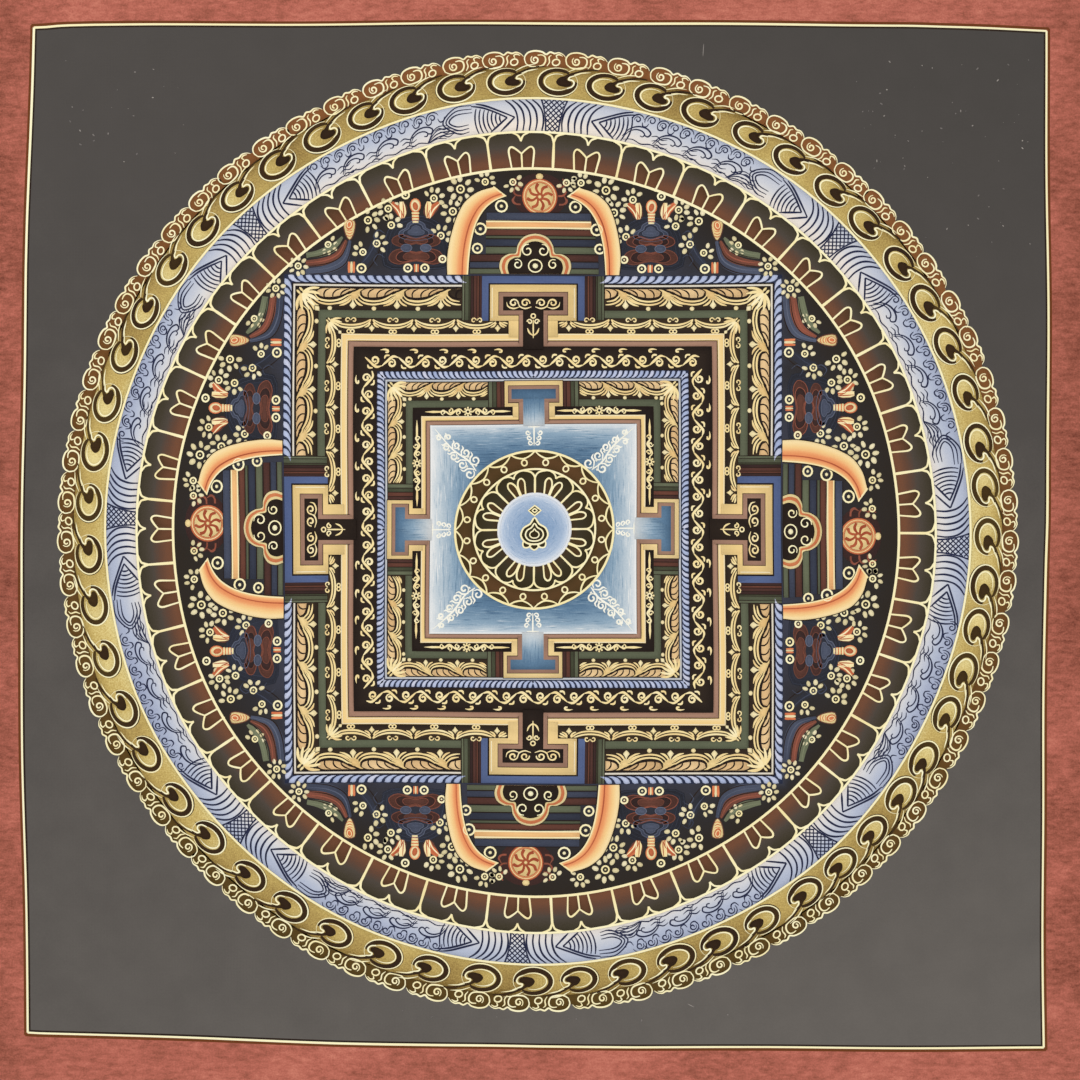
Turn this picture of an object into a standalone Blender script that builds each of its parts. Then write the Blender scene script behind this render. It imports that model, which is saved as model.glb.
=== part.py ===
"""Unmounted thangka painting: one piece of primed cotton canvas, laid out face up.

Metres, +Z up. The origin is on the surface that the canvas lies on, under its middle. The painted
face looks up, and +Y is the top of the picture. The middle lies flat. The cut edges lift a little,
unevenly, and the corners lift most, as canvas does when it is taken off its stretcher.
"""

import math

import bmesh
import bpy

SIDE = 0.470             # length of each cut edge
THICKNESS = 0.0012       # cotton, chalk ground and paint together
CELLS = 36               # grid cells along each edge
RIM_CELLS = 4            # cells from a cut edge to the square patch that lies flat

RIM_SHARE = 2 * RIM_CELLS / CELLS    # the rim's width as a share of half a side
EDGE_LIFT = 0.0016       # mean height of the middle of an edge above the surface
CUT_WANDER = 0.0012      # how far the hand-cut edges wander inwards

# Slow waves round the rim. Their shares add up to less than 1, so the whole rim stays off the surface.
RIM_WAVES = (
    {"waves": 3, "share": 0.22, "phase": 0.6},
    {"waves": 5, "share": 0.16, "phase": 2.1},
    {"waves": 9, "share": 0.10, "phase": 4.0},
)

# How each cut edge wanders: the number of waves along it, and where they start.
CUT_EDGES = {
    "left": {"waves": 1.3, "phase": 0.4},
    "right": {"waves": 1.7, "phase": 2.6},
    "bottom": {"waves": 1.1, "phase": 1.5},
    "top": {"waves": 1.5, "phase": 3.9},
}

PAINTED_COTTON = {"color": (0.105, 0.095, 0.085, 1.0), "roughness": 0.85, "metallic": 0.0}


def clear_scene():
    """Removes the objects that are in the scene at the start."""
    for old in list(bpy.data.objects):
        bpy.data.objects.remove(old)


def cut_inset(edge, along):
    """How far one cut edge lies inside the square. along runs from -1 to 1 along the edge."""
    shape = CUT_EDGES[edge]
    return CUT_WANDER * 0.5 * (1.0 + math.sin(math.pi * shape["waves"] * along + shape["phase"]))


def into_rim(share):
    """How far into the rim a grid point is along one axis: 0 on the flat patch, 1 at the cut edge."""
    return max(0.0, (abs(share) - 1.0 + RIM_SHARE) / RIM_SHARE)


def plan_point(u, v):
    """Plan position of a grid point. u and v run from -1 to 1 across and up the canvas."""
    side_x = "right" if u > 0 else "left"
    side_y = "top" if v > 0 else "bottom"
    inset_x = math.copysign(cut_inset(side_x, v) * into_rim(u), u)
    inset_y = math.copysign(cut_inset(side_y, u) * into_rim(v), v)
    return u * SIDE / 2 - inset_x, v * SIDE / 2 - inset_y


def lift(u, v):
    """Height of the underside above the surface: 0 on the flat patch, most at the corners."""
    angle = math.atan2(v, u)
    unevenness = sum(w["share"] * math.sin(w["waves"] * angle + w["phase"]) for w in RIM_WAVES)
    return EDGE_LIFT * (into_rim(u) ** 2 + into_rim(v) ** 2) * (1.0 + unevenness)


def painted_cotton():
    """The canvas's material."""
    material = bpy.data.materials.new("painted_cotton")
    material.use_nodes = True
    shader = material.node_tree.nodes["Principled BSDF"]
    shader.inputs["Base Color"].default_value = PAINTED_COTTON["color"]
    shader.inputs["Roughness"].default_value = PAINTED_COTTON["roughness"]
    shader.inputs["Metallic"].default_value = PAINTED_COTTON["metallic"]
    return material


def centred(points):
    """The plan points, moved so that the middle of their box is at the origin."""
    middle_x = (min(x for x, _ in points) + max(x for x, _ in points)) / 2
    middle_y = (min(y for _, y in points) + max(y for _, y in points)) / 2
    return [(x - middle_x, y - middle_y) for x, y in points]


def painted_canvas():
    """The sheet: a grid bent to the canvas's underside, thickened upwards to its painted face."""
    bm = bmesh.new()
    bmesh.ops.create_grid(bm, x_segments=CELLS, y_segments=CELLS, size=1.0)
    plan = centred([plan_point(vertex.co.x, vertex.co.y) for vertex in bm.verts])
    for vertex, (x, y) in zip(bm.verts, plan):
        vertex.co = (x, y, lift(vertex.co.x, vertex.co.y))
    mesh = bpy.data.meshes.new("painted_canvas")
    bm.to_mesh(mesh)
    bm.free()
    mesh.materials.append(painted_cotton())
    mesh.shade_smooth()
    mesh.set_sharp_from_angle(angle=math.radians(40))

    canvas = bpy.data.objects.new("painted_canvas", mesh)
    bpy.context.scene.collection.objects.link(canvas)
    cloth = canvas.modifiers.new("Thickness", "SOLIDIFY")
    cloth.thickness = THICKNESS
    cloth.offset = 1.0
    return canvas


clear_scene()
painted_canvas()
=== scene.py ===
"""Looks of the unmounted thangka: the cotton, its paint and its gold line work, piece by piece.

A plan point is one complex number in millimetres: x to the right, y up, from the canvas's middle. Paint
is laid on the plan in thin layers, and it is lifted on to the painted face when its piece is built.
Motifs are drawn in the strip that they belong to: along it is real, outwards is imaginary.
"""

import copy
import math

import bpy
import numpy as np
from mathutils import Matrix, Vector
from mathutils.geometry import tessellate_polygon


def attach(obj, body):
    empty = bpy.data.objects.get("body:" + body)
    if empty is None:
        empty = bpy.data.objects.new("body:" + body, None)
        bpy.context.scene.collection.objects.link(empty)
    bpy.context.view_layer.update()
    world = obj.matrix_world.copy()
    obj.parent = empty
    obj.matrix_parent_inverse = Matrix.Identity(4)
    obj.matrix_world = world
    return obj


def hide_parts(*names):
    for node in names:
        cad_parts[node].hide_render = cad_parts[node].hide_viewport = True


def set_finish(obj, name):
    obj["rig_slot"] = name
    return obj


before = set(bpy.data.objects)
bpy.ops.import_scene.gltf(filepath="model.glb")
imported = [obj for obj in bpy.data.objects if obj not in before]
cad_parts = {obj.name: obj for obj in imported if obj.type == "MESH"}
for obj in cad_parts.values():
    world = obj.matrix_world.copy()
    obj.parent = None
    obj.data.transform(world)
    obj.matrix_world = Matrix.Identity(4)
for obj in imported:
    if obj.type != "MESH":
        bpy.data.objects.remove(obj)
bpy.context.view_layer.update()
rng = np.random.default_rng(19)

# ---------------------------------------------------------------- the canvas, as the CAD part bends it

SIDE = 470.0             # length of each cut edge
THICKNESS = 1.2          # cotton, chalk ground and paint together
CELLS = 108              # grid cells along each edge
RIM_SHARE = 2 / 9        # the lifted rim's width as a share of half a side
EDGE_LIFT = 1.6          # mean height of the middle of an edge above the surface
CUT_WANDER = 1.2         # how far the hand-cut edges wander inwards
RIM_WAVES = ((3, 0.22, 0.6), (5, 0.16, 2.1), (9, 0.10, 4.0))      # waves, share, phase
CUT_EDGES = {"left": (1.3, 0.4), "right": (1.7, 2.6), "bottom": (1.1, 1.5), "top": (1.5, 3.9)}

MM = 0.001               # one millimetre in the scene's metres
STEP = 0.05              # height of one layer of paint
SKIRT = 1.15             # layers from a shape's face down to its lower edge


def cut_inset(edge, along):
    """How far one cut edge lies inside the square."""
    waves, phase = CUT_EDGES[edge]
    return CUT_WANDER * 0.5 * (1.0 + np.sin(math.pi * waves * along + phase))


def into_rim(share):
    """How far into the rim a point is along one axis: 0 on the flat patch, 1 at the cut edge."""
    return np.maximum(0.0, (np.abs(share) - 1.0 + RIM_SHARE) / RIM_SHARE)


def plan_point(u, v):
    """Plan position of a grid point of the cut canvas."""
    inset_x = np.where(u > 0, cut_inset("right", v), cut_inset("left", v)) * into_rim(u)
    inset_y = np.where(v > 0, cut_inset("top", u), cut_inset("bottom", u)) * into_rim(v)
    return u * SIDE / 2 - np.copysign(inset_x, u), v * SIDE / 2 - np.copysign(inset_y, v)


def lift(x, y):
    """Height of the underside over the surface: 0 on the flat patch, most at the corners."""
    u, v = x * 2 / SIDE, y * 2 / SIDE
    angle = np.arctan2(v, u)
    uneven = sum(share * np.sin(waves * angle + phase) for waves, share, phase in RIM_WAVES)
    return EDGE_LIFT * (into_rim(u) ** 2 + into_rim(v) ** 2) * (1.0 + uneven)


# ---------------------------------------------------------------- curves and places on the plan

def turned(degrees):
    """A turn by some degrees, anticlockwise."""
    return np.exp(1j * np.radians(degrees))


def smooth(points, closed=False, per=5):
    """A curve through given points."""
    p = np.asarray(points, complex)
    if closed:
        p = np.concatenate([p[-1:], p, p[:2]])
    else:
        p = np.concatenate([[2 * p[0] - p[1]], p, [2 * p[-1] - p[-2]]])
    a, b, c, d = p[:-3, None], p[1:-2, None], p[2:-1, None], p[3:, None]
    t = np.linspace(0, 1, per, endpoint=False)
    curve = b + 0.5 * ((c - a) * t + (2 * a - 5 * b + 4 * c - d) * t**2 + (3 * b - a - 3 * c + d) * t**3)
    curve = curve.ravel()
    return curve if closed else np.append(curve, p[-2])


def straight(start, end, pitch=6.0):
    """Points along a straight line, no further apart than pitch."""
    return np.linspace(start, end, max(2, int(math.ceil(abs(end - start) / pitch)) + 1))


def edges(corners, pitch):
    """A closed outline through its corners, with points along each edge."""
    return np.concatenate([straight(a, b, pitch)[:-1] for a, b in zip(corners, corners[1:] + corners[:1])])


def box(left, right, low, high, pitch=9.0):
    """A rectangle's outline."""
    return edges([complex(left, low), complex(right, low), complex(right, high), complex(left, high)], pitch)


def arc(centre, radius, start, end, count=12):
    """Points along an arc, from start to end degrees, anticlockwise where end is larger."""
    return centre + radius * turned(np.linspace(start, end, count))


def oval(centre, along, across, lean=0.0, count=10):
    """A closed oval whose long axis leans by some degrees."""
    turn = np.exp(1j * np.linspace(0, 2 * math.pi, count, endpoint=False))
    return centre + (along * turn.real + 1j * across * turn.imag) * turned(lean)


def spiral(centre, radius, inner, start, sweep, count=14):
    """A curl that winds in from radius to inner through sweep degrees."""
    share = np.linspace(0, 1, count)
    return centre + (radius + (inner - radius) * share) * turned(start + sweep * share)


def resample(points, pitch):
    """The same line with points at an even pitch."""
    p = np.asarray(points, complex)
    run = np.concatenate([[0], np.cumsum(np.abs(np.diff(p)))])
    at = np.linspace(0, run[-1], max(2, int(round(run[-1] / pitch)) + 1))
    return np.interp(at, run, p.real) + 1j * np.interp(at, run, p.imag)


def pair(points):
    """A line's mirror image, and the line."""
    p = np.asarray(points, complex)
    return -p.conjugate(), p


# ---------------------------------------------------------------- paint

TURN_OVER = [0, 3, 2, 1]             # puts a face's corners in the other order, from the same one on


def by_hand(z):
    """The small, slow wander that a hand-drawn picture has."""
    x, y = z.real, z.imag
    wander_x = 0.28 * np.sin(x / 31 + y / 47 + 0.7) + 0.16 * np.sin(y / 17 - x / 53)
    wander_y = 0.28 * np.sin(y / 37 - x / 43 + 2.2) + 0.16 * np.sin(x / 19 + y / 61)
    return z + wander_x + 1j * wander_y


def quads(rows, count, closed=False):
    """The faces between rows of points, each row count points long."""
    k = np.arange(count if closed else count - 1)
    ahead = (k + 1) % count
    strip = np.stack([k, ahead, ahead + count, k + count], axis=1)
    return np.concatenate([strip + row * count for row in range(rows - 1)])


class Paint:
    """The paint of one piece: every stroke and filled shape, gathered and built as one mesh."""

    def __init__(self, name, material):
        self.name = name
        self.material = material
        self.places = []
        self.shapes = []

    def on(self, place):
        """The same paint with a strip laid on it: place turns the strip's points into this paint's."""
        paint = copy.copy(self)
        paint.places = [place, *self.places]
        return paint

    def at(self, middle, hand=1):
        """The same paint, taking points from a middle, and mirrored there for hand -1."""
        return self.on(lambda w: middle + (w if hand > 0 else -w.conjugate()))

    def laid(self, points):
        """Points on the plan."""
        p = np.asarray(points, complex)
        for place in self.places:
            p = place(p)
        return p

    def add(self, points, layers, tones, faces):
        """Keeps one shape: rows of points, their heights in layers, their tones, and its faces."""
        spread = [np.broadcast_to(values, points.shape).ravel() for values in (layers, tones)]
        self.shapes.append((points.ravel(), *spread, faces))

    def stroke(self, line, width, level, tone, ends=(1.0, 1.0), taper=0.3, closed=False):
        """One brush line, thickest along its middle, with its edges drawn down on to what it lies on."""
        p = self.laid(line)
        if closed:
            p = np.append(p, p[0])
        ahead = np.gradient(p)
        if closed:
            ahead[0] = ahead[-1] = p[1] - p[-2]
        ahead /= np.abs(ahead) + 1e-9
        t = np.linspace(0, 1, len(p))
        shape = np.minimum(1, ends[0] + (1 - ends[0]) * t / taper)
        shape = shape * np.minimum(1, ends[1] + (1 - ends[1]) * (1 - t) / taper)
        pressure = 1 + 0.10 * np.sin(rng.uniform(0, 6.3) + t * rng.uniform(4, 9)) * (not closed)
        half = 0.55j * width * shape * pressure * ahead
        low = level - SKIRT
        layers = [[low], [level + rng.uniform(-0.08, 0.08)], [low]]
        shade = tone + rng.uniform(-0.1, 0.1) + 0.06 * np.sin(t * rng.uniform(2, 6) + rng.uniform(0, 6))
        self.add(np.stack([p + half, p, p - half]), layers, shade, quads(3, len(p))[:, TURN_OVER].tolist())

    def loop(self, outline, width, level, tone):
        """One brush line round a closed outline."""
        self.stroke(outline, width, level, tone, closed=True)

    def fill(self, outline, level, tone, spread=0.06):
        """One filled shape with a low skirt round it. tone is a number, or a function of the strip points."""
        own = tone(np.asarray(outline)) if callable(tone) else np.full(len(outline), float(tone))
        p = self.laid(outline)
        if np.sum(p.real * np.roll(p.imag, -1) - p.imag * np.roll(p.real, -1)) < 0:
            p, own = p[::-1], own[::-1]
        triangles = []
        for corners in tessellate_polygon([[Vector((z.real, z.imag, 0.0)) for z in p]]):
            a, b, c = p[list(corners)]
            triangles.append(corners if ((b - a).conjugate() * (c - a)).imag > 0 else corners[::-1])
        skirt = quads(2, len(p), closed=True)[:, TURN_OVER].tolist()
        own = own + rng.uniform(-spread, spread)
        self.add(np.stack([p, p]), [[level], [level - SKIRT]], own, skirt + triangles)

    def between(self, inner, outer, level, tones, closed=False, skirts=True):
        """A band from one line to another, in as many rows as there are tones."""
        inner, outer = self.laid(inner), self.laid(outer)
        rows = [inner + (outer - inner) * share for share in np.linspace(0, 1, len(tones))]
        layers = [level] * len(rows)
        tones = [np.broadcast_to(tone, len(inner)) for tone in tones]
        p, q = rows[:2]
        if skirts:
            rows, tones = ([values[0], *values, values[-1]] for values in (rows, tones))
            layers = [level - SKIRT, *layers, level - SKIRT]
        faces = quads(len(rows), len(inner), closed)
        if np.sum(((np.roll(p, -1) - p)[:-1].conjugate() * (q - p)[:-1]).imag) < 0:
            faces = faces[:, ::-1]
        self.add(np.array(rows), np.array(layers)[:, None], np.array(tones), faces.tolist())

    def build(self):
        """The mesh on the canvas's painted face, with a plan UV map and its tones."""
        points, layers, tones, faces = zip(*self.shapes)
        z = by_hand(np.concatenate(points))
        height = lift(z.real, z.imag) + THICKNESS + np.concatenate(layers) * STEP
        starts = np.cumsum([0, *map(len, points)]).tolist()
        mesh = bpy.data.meshes.new(self.name)
        mesh.from_pydata((np.stack([z.real, z.imag, height], axis=1) * MM).tolist(), [],
                         [[start + k for k in face] for start, group in zip(starts, faces) for face in group])
        mesh.materials.append(self.material)
        tone = mesh.attributes.new("tone", "FLOAT", "POINT")
        tone.data.foreach_set("value", np.concatenate(tones).astype(np.float32))
        finish_piece(mesh)


def finish_piece(mesh):
    """Gives a mesh its plan UV map and smooth shading, and puts it in the scene as a riding piece."""
    mesh.update()
    loops = np.zeros(len(mesh.loops), np.int32)
    mesh.loops.foreach_get("vertex_index", loops)
    corners = np.zeros(len(mesh.vertices) * 3)
    mesh.vertices.foreach_get("co", corners)
    plan = corners.reshape(-1, 3)[loops, :2] / (SIDE * MM) + 0.5
    layer = mesh.uv_layers.new(name="OFBake")
    layer.data.foreach_set("uv", np.clip(plan, 0, 1).astype(np.float32).ravel())
    mesh.shade_smooth()
    piece = bpy.data.objects.new(mesh.name, mesh)
    bpy.context.scene.collection.objects.link(piece)
    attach(piece, "root")
    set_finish(piece, "painted_cotton")
    return piece


class Palette(dict):
    """Several paints by name, which are placed together."""

    def on(self, place):
        """The same paints with a strip laid on them."""
        return Palette((name, paint.on(place)) for name, paint in self.items())

    def at(self, middle, hand=1):
        """The same paints, taking points from a middle, and mirrored there for hand -1."""
        return Palette((name, paint.at(middle, hand)) for name, paint in self.items())


def palette(prefix, **materials):
    """A palette with a paint for each material."""
    return Palette((name, Paint(prefix + name, material)) for name, material in materials.items())


def build(*paints):
    """Builds the pieces."""
    for paint in paints:
        paint.build()


# ---------------------------------------------------------------- materials

HAZE = 0.012             # what the matt surface's own gloss adds to a pixel, in linear light
WEAVE_PITCH = 0.00062    # thread to thread of the cotton, in metres
WAVE_UNIT = 2 * math.pi / 20         # a Wave texture's period at scale 1


def linear(colour):
    """The base colour that looks like an sRGB colour, six hex digits, under this scene's light."""
    shares = np.array(list(bytes.fromhex(colour))) / 255
    light = np.where(shares <= 0.04045, shares / 12.92, ((shares + 0.055) / 1.055) ** 2.4)
    return (*np.maximum(0.001, light - HAZE).tolist(), 1.0)


class Nodes:
    """A short way to add and join the nodes of one material."""

    def __init__(self, name):
        self.material = bpy.data.materials.new(name)
        self.material.use_nodes = True
        self.tree = self.material.node_tree
        self.shader = self.tree.nodes["Principled BSDF"]

    def new(self, kind, values=None, links=None, **settings):
        """Adds a node with its settings, its sockets' values and its links."""
        node = self.tree.nodes.new(kind)
        for key, value in settings.items():
            setattr(node, key, value)
        for key, value in (values or {}).items():
            node.inputs[key].default_value = value
        for key, source in (links or {}).items():
            self.tree.links.new(source, node.inputs[key])
        return node

    def math(self, operation, *values):
        """Adds a Math node; values are sockets or numbers."""
        node = self.new("ShaderNodeMath", operation=operation)
        for socket, value in zip(node.inputs, values):
            if isinstance(value, bpy.types.NodeSocket):
                self.tree.links.new(value, socket)
            else:
                socket.default_value = value
        return node.outputs[0]

    def noise(self, place, scale, detail=2.0, rough=0.5):
        """Adds a noise, from about 0 to 1."""
        values = {"Scale": scale, "Detail": detail, "Roughness": rough}
        return self.new("ShaderNodeTexNoise", values, {"Vector": place}).outputs["Fac"]

    def around(self, factor, reach):
        """A noise's distance from its middle, times twice its reach."""
        return self.math("MULTIPLY", self.math("SUBTRACT", factor, 0.5), reach * 2)

    def ramp(self, factor, stops):
        """Adds a colour ramp; each stop is a position and a colour."""
        node = self.new("ShaderNodeValToRGB", links={"Fac": factor})
        elements = node.color_ramp.elements
        while len(elements) < len(stops):
            elements.new(0.5)
        for element, (position, colour) in zip(elements, stops):
            element.position = position
            element.color = linear(colour)
        return node.outputs["Color"]

    def weave(self, place):
        """Height of a plain weave: two sets of uneven threads at right angles."""
        values = {"Scale": WAVE_UNIT / WEAVE_PITCH, "Distortion": 1.2, "Detail": 2.0, "Detail Scale": 0.35}
        threads = [self.new("ShaderNodeTexWave", values, {"Vector": place}, bands_direction=way)
                   for way in ("X", "Y")]
        return self.math("ADD", *(wave.outputs["Fac"] for wave in threads))

    def surface(self, colour, height, cloth, relief, gleam):
        """Gives the shader its colour, its relief and its gleam."""
        bump = self.new("ShaderNodeBump", {"Strength": cloth, "Distance": relief}, {"Height": height})
        for source, socket in ((colour, "Base Color"), (bump.outputs["Normal"], "Normal")):
            self.tree.links.new(source, self.shader.inputs[socket])
        self.shader.inputs["Specular IOR Level"].default_value = gleam
        return self.material


def paint_material(name, colours, rough=0.82, grain=0.16, gleam=0.25, cloth=0.3):
    """Mineral paint on cotton. colours run from tone 0 to tone 1, evenly; the cloth shows through it."""
    nodes = Nodes(name)
    place = nodes.new("ShaderNodeTexCoord").outputs["Object"]
    tone = nodes.new("ShaderNodeAttribute", attribute_name="tone").outputs["Fac"]
    fine = nodes.noise(place, 1500.0, detail=3.0, rough=0.6)
    broad = nodes.noise(place, 55.0, detail=4.0, rough=0.55)
    shade = nodes.math("ADD", tone, nodes.around(fine, grain))
    shade = nodes.math("ADD", shade, nodes.around(broad, 0.12))
    colours = colours.split()
    colour = nodes.ramp(shade, [(k / (len(colours) - 1), colour) for k, colour in enumerate(colours)])
    uneven = nodes.math("MULTIPLY_ADD", fine, 0.22, rough - 0.11)
    nodes.tree.links.new(uneven, nodes.shader.inputs["Roughness"])
    height = nodes.math("ADD", nodes.weave(place), nodes.math("MULTIPLY", fine, 1.3))
    return nodes.surface(colour, height, cloth, 0.00012, gleam)


def margin_material():
    """Terracotta paint brushed thinly over the weave, with slubs and darker flecks where thread shows, and
    painted shade on its left and right sides.
    """
    nodes = Nodes("margin_terracotta")
    place = nodes.new("ShaderNodeTexCoord").outputs["Object"]
    long_way = nodes.new("ShaderNodeMapping", {"Scale": (0.4, 1.0, 1.0)}, {"Vector": place}).outputs["Vector"]
    dashes = nodes.noise(long_way, 480.0, detail=4.0, rough=0.7)
    grain = nodes.noise(place, 1500.0, detail=3.0, rough=0.65)
    patches = nodes.noise(place, 34.0, detail=5.0, rough=0.6)
    # painted shade: the left and right margins are painted darker than the top and bottom
    across = nodes.new("ShaderNodeSeparateXYZ", links={"Vector": place}).outputs["X"]
    side = nodes.math("MULTIPLY", nodes.math("SUBTRACT", nodes.math("ABSOLUTE", across), 0.2), 4.0)
    side.node.use_clamp = True
    shade = nodes.math("ADD", nodes.math("MULTIPLY", dashes, 0.62), nodes.math("MULTIPLY", grain, 0.4))
    shade = nodes.math("ADD", shade, nodes.math("MULTIPLY", patches, 0.5))
    shade = nodes.math("SUBTRACT", shade, side)
    colour = nodes.ramp(shade, ((0.42, "703e32"), (0.62, "9e5c4c"), (0.78, "be6e5e"), (0.98, "d68672")))
    height = nodes.math("ADD", nodes.weave(place), nodes.math("MULTIPLY", dashes, 1.6))
    nodes.shader.inputs["Roughness"].default_value = 0.86
    return nodes.surface(colour, height, 0.55, 0.00016, 0.2)


def cotton_material():
    """The bare back and cut edges: sized cotton, off-white, with a plain weave."""
    nodes = Nodes("raw_cotton")
    place = nodes.new("ShaderNodeTexCoord").outputs["Object"]
    threads = nodes.weave(place)
    patches = nodes.noise(place, 40.0, detail=4.0)
    shade = nodes.math("ADD", nodes.math("MULTIPLY", threads, 0.16), nodes.math("MULTIPLY", patches, 0.7))
    colour = nodes.ramp(shade, ((0.25, "aa9c82"), (0.5, "cdc0a6"), (0.75, "ded4be")))
    nodes.shader.inputs["Roughness"].default_value = 0.92
    return nodes.surface(colour, threads, 0.8, 0.0002, 0.15)


# ---------------------------------------------------------------- colours, from tone 0 to tone 1

GOLD = paint_material("gold_line", "d0b474 f8e8ac fffad4", 0.5, 0.10, 0.5, cloth=0.15)
DARK_LINE = paint_material("dark_line", "28201a 3c3026")
SIENNA = paint_material("sienna_line", "60341e 804c2a")
WEAR = paint_material("bared_ground", "625e5c 807a76 b0a8a0")
GROUND = paint_material("ground_paint", "464340 524e4b 6d6863", 0.8, 0.10, cloth=0.35)
CLOUD_GROUND = paint_material("cloud_paint", "5a4624 704c2a 905c38")
OCHRE = paint_material("ochre_gold", "685026 a0854a c8ae66 f0de9a", 0.6, 0.42)
COMMA_DARK = paint_material("comma_dark", "2c2016 3e2e18 604c24")
SKY = paint_material("sky_blue", "969fbc b6bed1 d6d6d9 f0e4d6", 0.8, 0.12)
NAVY = paint_material("navy_line", "1e2236 3a3e5c")
LOTUS = paint_material("lotus_paint", "403a2c 504841 64483a 7a503a")
LOBE = paint_material("lobe_brown", "423424 5a402e 704a36")
NAVY_GROUND = paint_material("navy_ground", "262a3a 3e4662")
EARTH = paint_material("dark_earth", "241e1c 3a3028 54422a")
GREEN = paint_material("grey_green", "404132 616652 7e8368")
YELLOW = paint_material("wall_yellow", "d6aa6a f0ce8a fae0aa", 0.78, 0.12)
MAUVE = paint_material("mauve", "805e4e aa8470 be9c82")
MAROON = paint_material("maroon", "322a2a 4e3632 6e463a 9e5c4a")
GATE_BLUE = paint_material("gate_blue", "3e4b6a 5a6992 7888ac")
PALE = paint_material("pale_line", "96acc6 dcd4c8 faeec8", 0.7)
COURT_BLUE = paint_material("court_blue", "405c78 62809b 8ea7bb c2ced6 ececea", 0.8, 0.1)
DISC_BLUE = paint_material("disc_blue", "6884a4 8aa4c4 beccde f0f0f0", 0.8, 0.14)
SLATE = paint_material("slate_blue", "313136 3c404e 545a6c 6a7082")
BRONZE = paint_material("bronze_brown", "3c2a20 ba9060 e4be8a f6d8a6")
OLIVE_LOBE = paint_material("olive_lobe", "463822 60442e")
ROPE_PALE = paint_material("rope_pale", "96a6cc bcc6e2 e0deea", 0.75)
WARM_GOLD = paint_material("warm_gold", "c49660 e4bc7a f6de9e fcf0c4", 0.5, 0.10, 0.5, cloth=0.15)
FIELD = paint_material("field_dark", "322c26 343234 40424e", 0.82, 0.24)
ORANGE = paint_material("orange", "9e4a32 da7c52 f0ac76", 0.75, 0.14)
HORN = paint_material("horn_orange", "e28454 f0a870 f6ce8e fae2ac", 0.72, 0.1)
PETAL_CREAM = paint_material("petal_cream", "beb28a e8daaa faf0cc", 0.7)
RIM_BROWN = paint_material("rim_brown", "463922 564028 62442c")
OLIVE = paint_material("olive_brown", "38301a 3e382a 543e2a")
SPRAY = paint_material("white_gold", "ceceba f0eede fffcf0", 0.6)


# ---------------------------------------------------------------- the cloth and its ground

# The gold outline between margin and ground, side by side, drawn slightly out of square as on the cloth.
OUTLINE_TOP = (-210.6 + 212.9j, -162 + 214.4j, 115 + 214.4j, 173 + 213.5j, 213.8 + 211.3j)
OUTLINE_RIGHT = (213.8 + 211.3j, 214.6 + 98j, 214.0 + 15j, 212.9 - 36j, 212.5 - 215j)
OUTLINE_BOTTOM = (212.5 - 215j, 1 - 214.8j, -188 - 209.8j, -213.8 - 208.9j)
OUTLINE_LEFT = (-213.8 - 208.9j, -214.2 - 174j, -216.3 - 34j, -214.6 + 111j, -210.6 + 212.9j)
OUTLINE = (OUTLINE_TOP, OUTLINE_RIGHT, OUTLINE_BOTTOM, OUTLINE_LEFT)
GROUND_HALF = 215        # half the ground's width
GROUND_CELLS = 88
# Scuffed places of the ground: lower left corner, width, height and number of scuffs.
SCUFFS = ((130 + 112j, 78, 88, 70), (-205 + 150j, 60, 50, 22), (-60 - 205j, 150, 12, 14))
SCRATCHES = ((63.6 - 197.2j, 66.4 - 198.6j), (69.6 + 201.0j, 69.9 + 206.2j))


def canvas():
    """The cotton sheet: its face is the painted margin, and its back and cut edges are bare."""
    line = np.linspace(-1, 1, CELLS + 1)
    u, v = np.meshgrid(line, line)
    x, y = plan_point(u, v)
    x = x - (x.min() + x.max()) / 2
    y = y - (y.min() + y.max()) / 2
    under = lift(x, y)
    n = CELLS + 1
    corners = [np.stack([x, y, z], axis=2).reshape(-1, 3) for z in (under + THICKNESS, under)]
    top = quads(n, n)
    back = np.arange(CELLS - 1, -1, -1)
    rim = np.concatenate([np.arange(n), np.arange(1, n) * n + CELLS, CELLS * n + back, back * n])
    sides = np.stack([rim[:-1], rim[:-1] + n * n, rim[1:] + n * n, rim[1:]], axis=1)
    faces = np.concatenate([top, top[:, ::-1] + n * n, sides])
    mesh = bpy.data.meshes.new("canvas")
    mesh.from_pydata((np.concatenate(corners) * MM).tolist(), [], faces.tolist())
    mesh.materials.append(margin_material())
    mesh.materials.append(cotton_material())
    mesh.polygons.foreach_set("material_index", [0] * len(top) + [1] * (len(faces) - len(top)))
    piece = finish_piece(mesh)
    mesh.set_sharp_from_angle(angle=math.radians(40))
    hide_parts("painted_canvas")
    return piece


def coons(top, right, bottom, left, cells):
    """A grid of points inside four sides, given clockwise from the top left corner."""
    at = np.linspace(0, 1, cells + 1)

    def along(side):
        side = resample(side, 1.0)
        place = np.linspace(0, 1, len(side))
        return np.interp(at, place, side.real) + 1j * np.interp(at, place, side.imag)

    top, bottom = along(top), along(bottom[::-1])
    left, right = along(left)[:, None], along(right[::-1])[:, None]
    u, v = at, at[:, None]
    flat = (1 - u) * (1 - v) * bottom[0] + u * (1 - v) * bottom[-1] + (1 - u) * v * top[0] + u * v * top[-1]
    return (1 - v) * bottom + v * top + (1 - u) * left + u * right - flat


def ground():
    """The dark ground inside the outline, paler towards the bottom and most of all at its right corner: a
    painted sheen.
    """
    paint = Paint("ground", GROUND)
    grid = coons(*OUTLINE, GROUND_CELLS)
    across, up = grid.real / GROUND_HALF, grid.imag / GROUND_HALF
    # painted sheen: the tone rises towards the bottom, and most of all at the lower right
    tone = 0.585 - 0.25 * up - 0.095 * across * up
    paint.add(grid, 0.7, tone, quads(*grid.shape).tolist())
    paint.build()


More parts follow.
